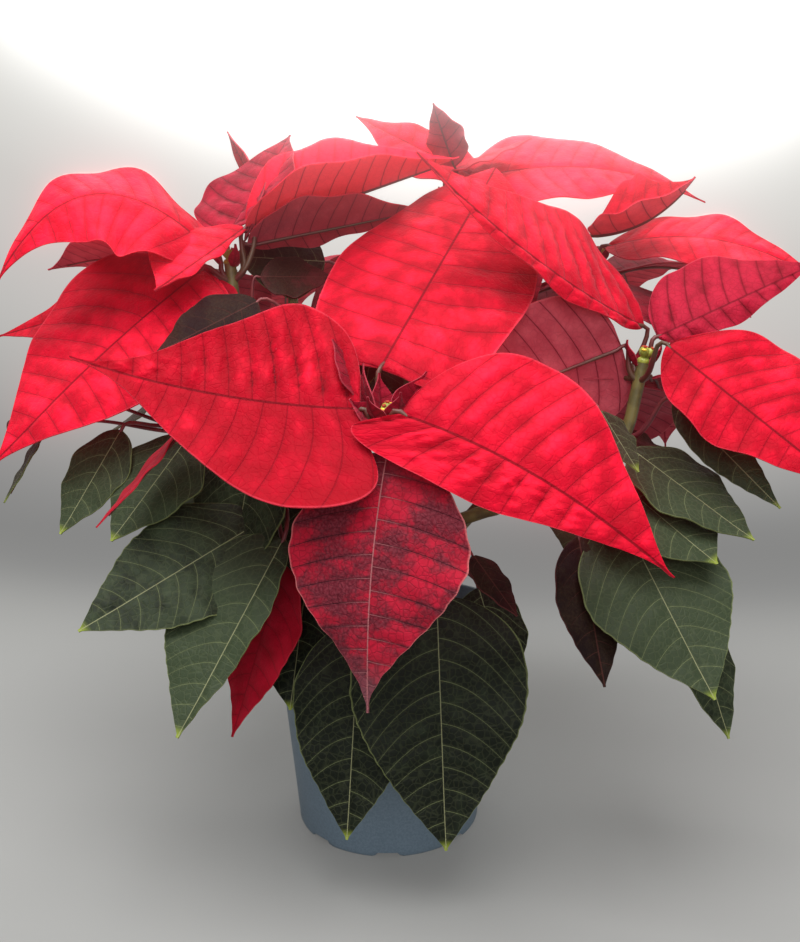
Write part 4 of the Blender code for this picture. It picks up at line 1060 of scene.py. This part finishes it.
def build_cyathia(name, rng):
    """Green cups with a yellow gland at the side of the mouth and a tuft of red stamens."""
    shape = Shape()
    axis = head_axis(name)
    foot = np.array(HEADS[name], float) + axis * (CORE_UP + GAP)
    side = unit(np.cross(axis, [0.2, 1.0, 0.1]))
    other = np.cross(axis, side)
    cushion = smooth_line([foot - axis * 0.6, foot + axis, foot + axis * 2.2], 6)
    put_tube(shape, cushion, CUSHION_RADII, 18, 0)
    for k in range(CUPS):
        angle = math.radians(golden_bearing(20, k))
        lean = 0.0 if k == 0 else 0.45
        out = side * math.cos(angle) + other * math.sin(angle)
        way = unit(axis + out * lean)
        start = foot + axis * 1.2 + out * lean * 1.2
        length = CUP_HEIGHT - 1.2 + rng.uniform(-1.0, 0.0)
        put_tube(shape, start + way * (np.array(CUP_HEIGHTS) * length)[:, None], CUP_RADII, 18, 0)
        flank = unit(np.cross(way, [0.5, -0.8, 0.1])) if k == 0 else unit(out - way * (out @ way))
        across = np.cross(way, flank)
        mouth = start + way * length * 0.78 + flank * 1.5
        t = np.linspace(-1, 1, 9)[:, None]
        gland = mouth + across * t * 1.1 + way * 0.25 * t ** 2
        put_tube(shape, gland, 0.62 * np.sqrt(1.02 - t[:, 0] ** 2) + 0.05, 12, 1)
        for n in range(STAMENS):
            spin = math.radians(golden_bearing(0, n))
            splay = (flank * math.cos(spin) + across * math.sin(spin)) * 0.28
            tip = start + way * length + splay * 2.2
            base = start + way * length * 0.72 + splay
            put_tube(shape, smooth_line([base, (base + tip) / 2, tip], 7), STAMEN_RADII, 8, 2)
    shape.build("cyathia_" + name, [CUP, GLAND, STAMEN], "cups", False, ["cups_" + name])


def build_bark():
    """The main stem, ridged and scarred, with the cut ends of its shoots."""
    shape = Shape()
    rings, sides = 60, 40
    heights = np.linspace(SOIL_TOP - 6, TRUNK_TOP, rings)
    spin = np.linspace(0, 2 * np.pi, sides, endpoint=False)
    ridges = [[noise.noise(Vector((math.cos(a) * 2.2, math.sin(a) * 2.2, z / 6))) for a in spin]
              for z in heights]
    line = np.stack([np.zeros(rings), np.zeros(rings), heights], 1)
    put_tube(shape, line, TRUNK_RADIUS - 0.4 + 0.35 * np.array(ridges), sides, 0)
    for index, name in enumerate(SHOOTS):
        root, end = stub_line(index, name)
        at = np.linspace(0, 1, 16)
        scar = 0.35 * np.exp(-((at - 0.75) / 0.08) ** 2)
        put_tube(shape, root + (end - root) * at[:, None], 3.55 + scar, 20, 0)
    shape.build("bark_stem", [BARK], "woody_bark", False, ["main_stem"])


def ring(radius, spin, height):
    """Points of a level ring, at one height or at a height for each."""
    return np.stack([radius * np.cos(spin), radius * np.sin(spin), np.broadcast_to(height, spin.shape)], 1)


def build_pot():
    """The moulded pot, turned from its profile, with drainage notches raised in the foot's edge."""
    shape = Shape()
    sides = 192
    rim, band, top, foot = RIM_RADIUS, RIM_RADIUS - LIP, POT_HEIGHT, FOOT_RADIUS
    inside = [(inner_radius(z), z) for z in (POT_FLOOR, 30, 60, WALL_TOP - 0.5, WALL_TOP + 0.5,
                                             BAND_FOOT - 0.4, BAND_FOOT + 0.4, top - 1)]
    lip = [(band - POT_WALL + 0.3, top - 0.3), (band - POT_WALL + 0.9, top), (rim - 0.8, top),
           (rim - 0.2, top - 0.25), (rim, top - 0.9), (rim, top - 2.6), (rim - 0.25, top - 3.2),
           (rim - 0.8, top - 3.5), (band + 0.1, top - 3.6), (band, top - 4.0)]
    wall = [(band - 1, BAND_FOOT - 0.6), (band - 1.4, BAND_FOOT - 1.2),
            (WALL_TOP_RADIUS + 0.3, WALL_TOP - 1.6), (WALL_TOP_RADIUS, WALL_TOP - 2.4), (50.5, 30),
            (foot + 0.1, 3.0), (foot, 1.0), (foot - 0.4, 0.3), (foot - 1.1, 0.0), (foot - 3, 0.0),
            (foot - NOTCH[1], 0.0), (foot - 9, 0.0)]
    spin = np.linspace(0, 2 * np.pi, sides, endpoint=False) - np.pi / 2
    notch_turn = 2 * np.pi / NOTCHES
    to_notch = np.abs((spin / notch_turn + 0.5 + NOTCHES / 4) % 1 - 0.5) * notch_turn
    raised = NOTCH[2] * np.clip((NOTCH[0] / 2 - to_notch * foot) / 0.8, 0, 1)
    rings = []
    for radius, height in [(0.01, POT_FLOOR)] + inside + lip + wall + [(0.01, 0.0)]:
        at_foot = height < 1.5 and radius > foot - NOTCH[1] - 0.5
        rings.append(ring(radius, spin, np.maximum(height, raised) if at_foot else height))
    shape.put(np.vstack(rings), (ring_faces(len(rings), sides)[:, ::-1], 0, None))
    shape.build("moulded_pot", [POT_PLASTIC], "blue_grey_plastic", False, ["pot"])


def put_grain(shape, centre, size, rng):
    """A small rough lump."""
    axis = unit(np.array([rng.uniform(-1, 1), rng.uniform(-1, 1), rng.uniform(-1, 1)]) + 0.01)
    at = np.array([-1.0, -0.7, -0.1, 0.5, 0.95])
    radii = np.sqrt(1.05 - at ** 2) * size * np.array([rng.uniform(0.8, 1.15) for _ in at])
    put_tube(shape, centre + axis * (at * size)[:, None], radii, 6, 0)


def build_soil():
    """The peat's crumbly top, with loose crumbs and white perlite."""
    shape, pearls = Shape(), Shape()
    rng = random.Random(SEED)
    sides = 150
    hole, edge = TRUNK_RADIUS + GAP, inner_radius(SOIL_TOP) - GAP
    spin = np.linspace(0, 2 * np.pi, sides, endpoint=False)
    rows = []
    for share in np.linspace(0, 1, 44):
        flat = ring(hole - 1 + (edge - hole + 1) * share, spin, 0.0)
        lump = np.array([noise.noise(Vector((x / 4, y / 4, 1.0))) * 1.5
                         + noise.noise(Vector((x, y, 2.0))) * 0.8 for x, y, _ in flat])
        flat[:, 2] = SOIL_TOP + SOIL_MOUND * (1 - share ** 2) - 0.8 + lump
        rows.append(flat)
    rows.append(ring(edge, spin, SOIL_TOP - 8.0))
    shape.put(np.vstack(rows), (ring_faces(len(rows), sides)[:, ::-1], 0, None))
    for k in range(SOIL_GRAINS + PERLITE_GRAINS):
        share = math.sqrt(rng.uniform(0.03, 0.94))
        angle = rng.uniform(0, 2 * math.pi)
        height = SOIL_TOP + SOIL_MOUND * (1 - share ** 2) - 0.2
        centre = np.array([share * edge * math.cos(angle), share * edge * math.sin(angle), height])
        put_grain(shape if k < SOIL_GRAINS else pearls, centre, rng.uniform(0.7, 1.9), rng)
    shape.build("peat_surface", [PEAT], "peat", False, ["soil"])
    pearls.build("perlite", [PERLITE], "peat")


def backdrop_material():
    """Paper that the lamps light under the pot, then a painted glow that follows the sweep upwards and
    stands in for the light on it.
    """
    material, tree = new_material("seamless_paper")
    place = add(tree, "SeparateXYZ", {0: add(tree, "TexCoord", output="Object")}, None)
    along = add(tree, "Math", {0: place[1], 1: place[2]}, operation="ADD")
    bowed = add(tree, "Math", {0: place[0], 1: SIDE_FALL}, operation="MULTIPLY")
    bowed = add(tree, "Math", {0: bowed, 1: SIDE_LEAN}, operation="ADD")
    along = add(tree, "Math", {0: place[0], 1: bowed, 2: along}, operation="MULTIPLY_ADD")
    share = add(tree, "MapRange", {0: along, 1: SWEEP_PAINTED_LIGHT[0][0], 2: SWEEP_PAINTED_LIGHT[-1][0]})
    ramp = tree.nodes.new("ShaderNodeValToRGB")
    tree.links.new(share, ramp.inputs[0])
    span = SWEEP_PAINTED_LIGHT[-1][0] - SWEEP_PAINTED_LIGHT[0][0]
    ramp.color_ramp.interpolation = "B_SPLINE"
    while len(ramp.color_ramp.elements) < len(SWEEP_PAINTED_LIGHT):
        ramp.color_ramp.elements.new(0.5)
    for element, (at, tone) in zip(ramp.color_ramp.elements, SWEEP_PAINTED_LIGHT):
        element.position = (at - SWEEP_PAINTED_LIGHT[0][0]) / span
        element.color = linear(tone)
    glow = add(tree, "Emission", {"Color": ramp.outputs[0], "Strength": 1.0})
    paper = add(tree, "BsdfPrincipled", {"Base Color": linear("#949492"), "Roughness": 0.9,
                                         "Specular IOR Level": 0.1})
    # The share of painted glow: little under the pot, where the lamps light the paper and the plant casts
    # its shadow, and all of it further out.
    lit = add(tree, "MapRange", {0: along, 1: 0.1, 2: 0.45, 3: 0.2}, interpolation_type="SMOOTHSTEP")
    both = add(tree, "MixShader", {0: lit, 1: paper, 2: glow})
    add(tree, "OutputMaterial", {"Surface": both}, None)
    return material


def build_stage():
    """A paper sweep: flat floor, a curve up and a wall."""
    wall, bend, half_width = 1.15, 0.35, 2.2
    path = [(-1.2, 0.0), (0.3, 0.0), (wall - bend, 0.0)]
    path += [(wall - bend + bend * math.sin(a), bend - bend * math.cos(a))
             for a in np.linspace(0.05, math.pi / 2, 24)]
    path += [(wall, 1.0), (wall, 2.4)]
    points = [(x, y, z) for y, z in path for x in (-half_width, half_width)]
    mesh = bpy.data.meshes.new("paper_sweep")
    mesh.from_pydata(points, [], [(k, k + 1, k + 3, k + 2) for k in range(0, len(points) - 2, 2)])
    mesh.materials.append(backdrop_material())
    mesh.shade_smooth()
    sweep = bpy.data.objects.new("paper_sweep", mesh)
    bpy.context.scene.collection.objects.link(sweep)


def light_scene():
    """Three soft windows in a pale room."""
    for name, place, target, size, power in LIGHTS:
        data = bpy.data.lights.new(name, "AREA")
        data.shape = "RECTANGLE"
        data.size, data.size_y = size
        data.energy = power
        light = bpy.data.objects.new(name, data)
        light.location = place
        light.rotation_euler = (Vector(target) - Vector(place)).to_track_quat("-Z", "Y").to_euler()
        bpy.context.scene.collection.objects.link(light)
    world = bpy.data.worlds.new("room")
    world.use_nodes = True
    room = world.node_tree.nodes["Background"].inputs
    room["Color"].default_value = linear("#dcdcdc")
    room["Strength"].default_value = 0.38
    bpy.context.scene.world = world
    bpy.context.scene.view_settings.view_transform = "Standard"


def haze():
    """The white wall behind the plant veils its upper part, as in a lens that looks into the light."""
    bpy.context.scene.use_nodes = True
    tree = bpy.context.scene.node_tree
    tree.nodes.clear()
    picture, veil, shown = (tree.nodes.new("CompositorNode" + kind)
                            for kind in ("RLayers", "Glare", "Composite"))
    veil.glare_type = "FOG_GLOW"
    veil.quality = "MEDIUM"
    for socket, value in (("Threshold", 0.8), ("Strength", 5.0), ("Size", 0.9)):
        veil.inputs[socket].default_value = value
    tree.links.new(picture.outputs["Image"], veil.inputs["Image"])
    tree.links.new(veil.outputs["Image"], shown.inputs["Image"])


def tuck_leaf(placed):
    """Shifts the small leaf of the front shoot behind the big one, with its stalk."""
    leaf, stalk = placed[TUCKED]
    placed[TUCKED] = replace(leaf, base=tuple(np.add(leaf.base, TUCK).tolist())), stalk + TUCK


placed_blades = place_blades()
tuck_leaf(placed_blades["shoot_front"])
build_pot()
build_soil()
build_bark()
cup_draw = random.Random(SEED + 1)
for shoot_index, head in enumerate(SHOOTS):
    build_leaves(shoot_index, head, placed_blades.get("shoot_" + head, []))
    build_bracts(head, placed_blades.get("bracts_" + head, []))
    build_cyathia(head, cup_draw)
build_stage()
light_scene()
haze()
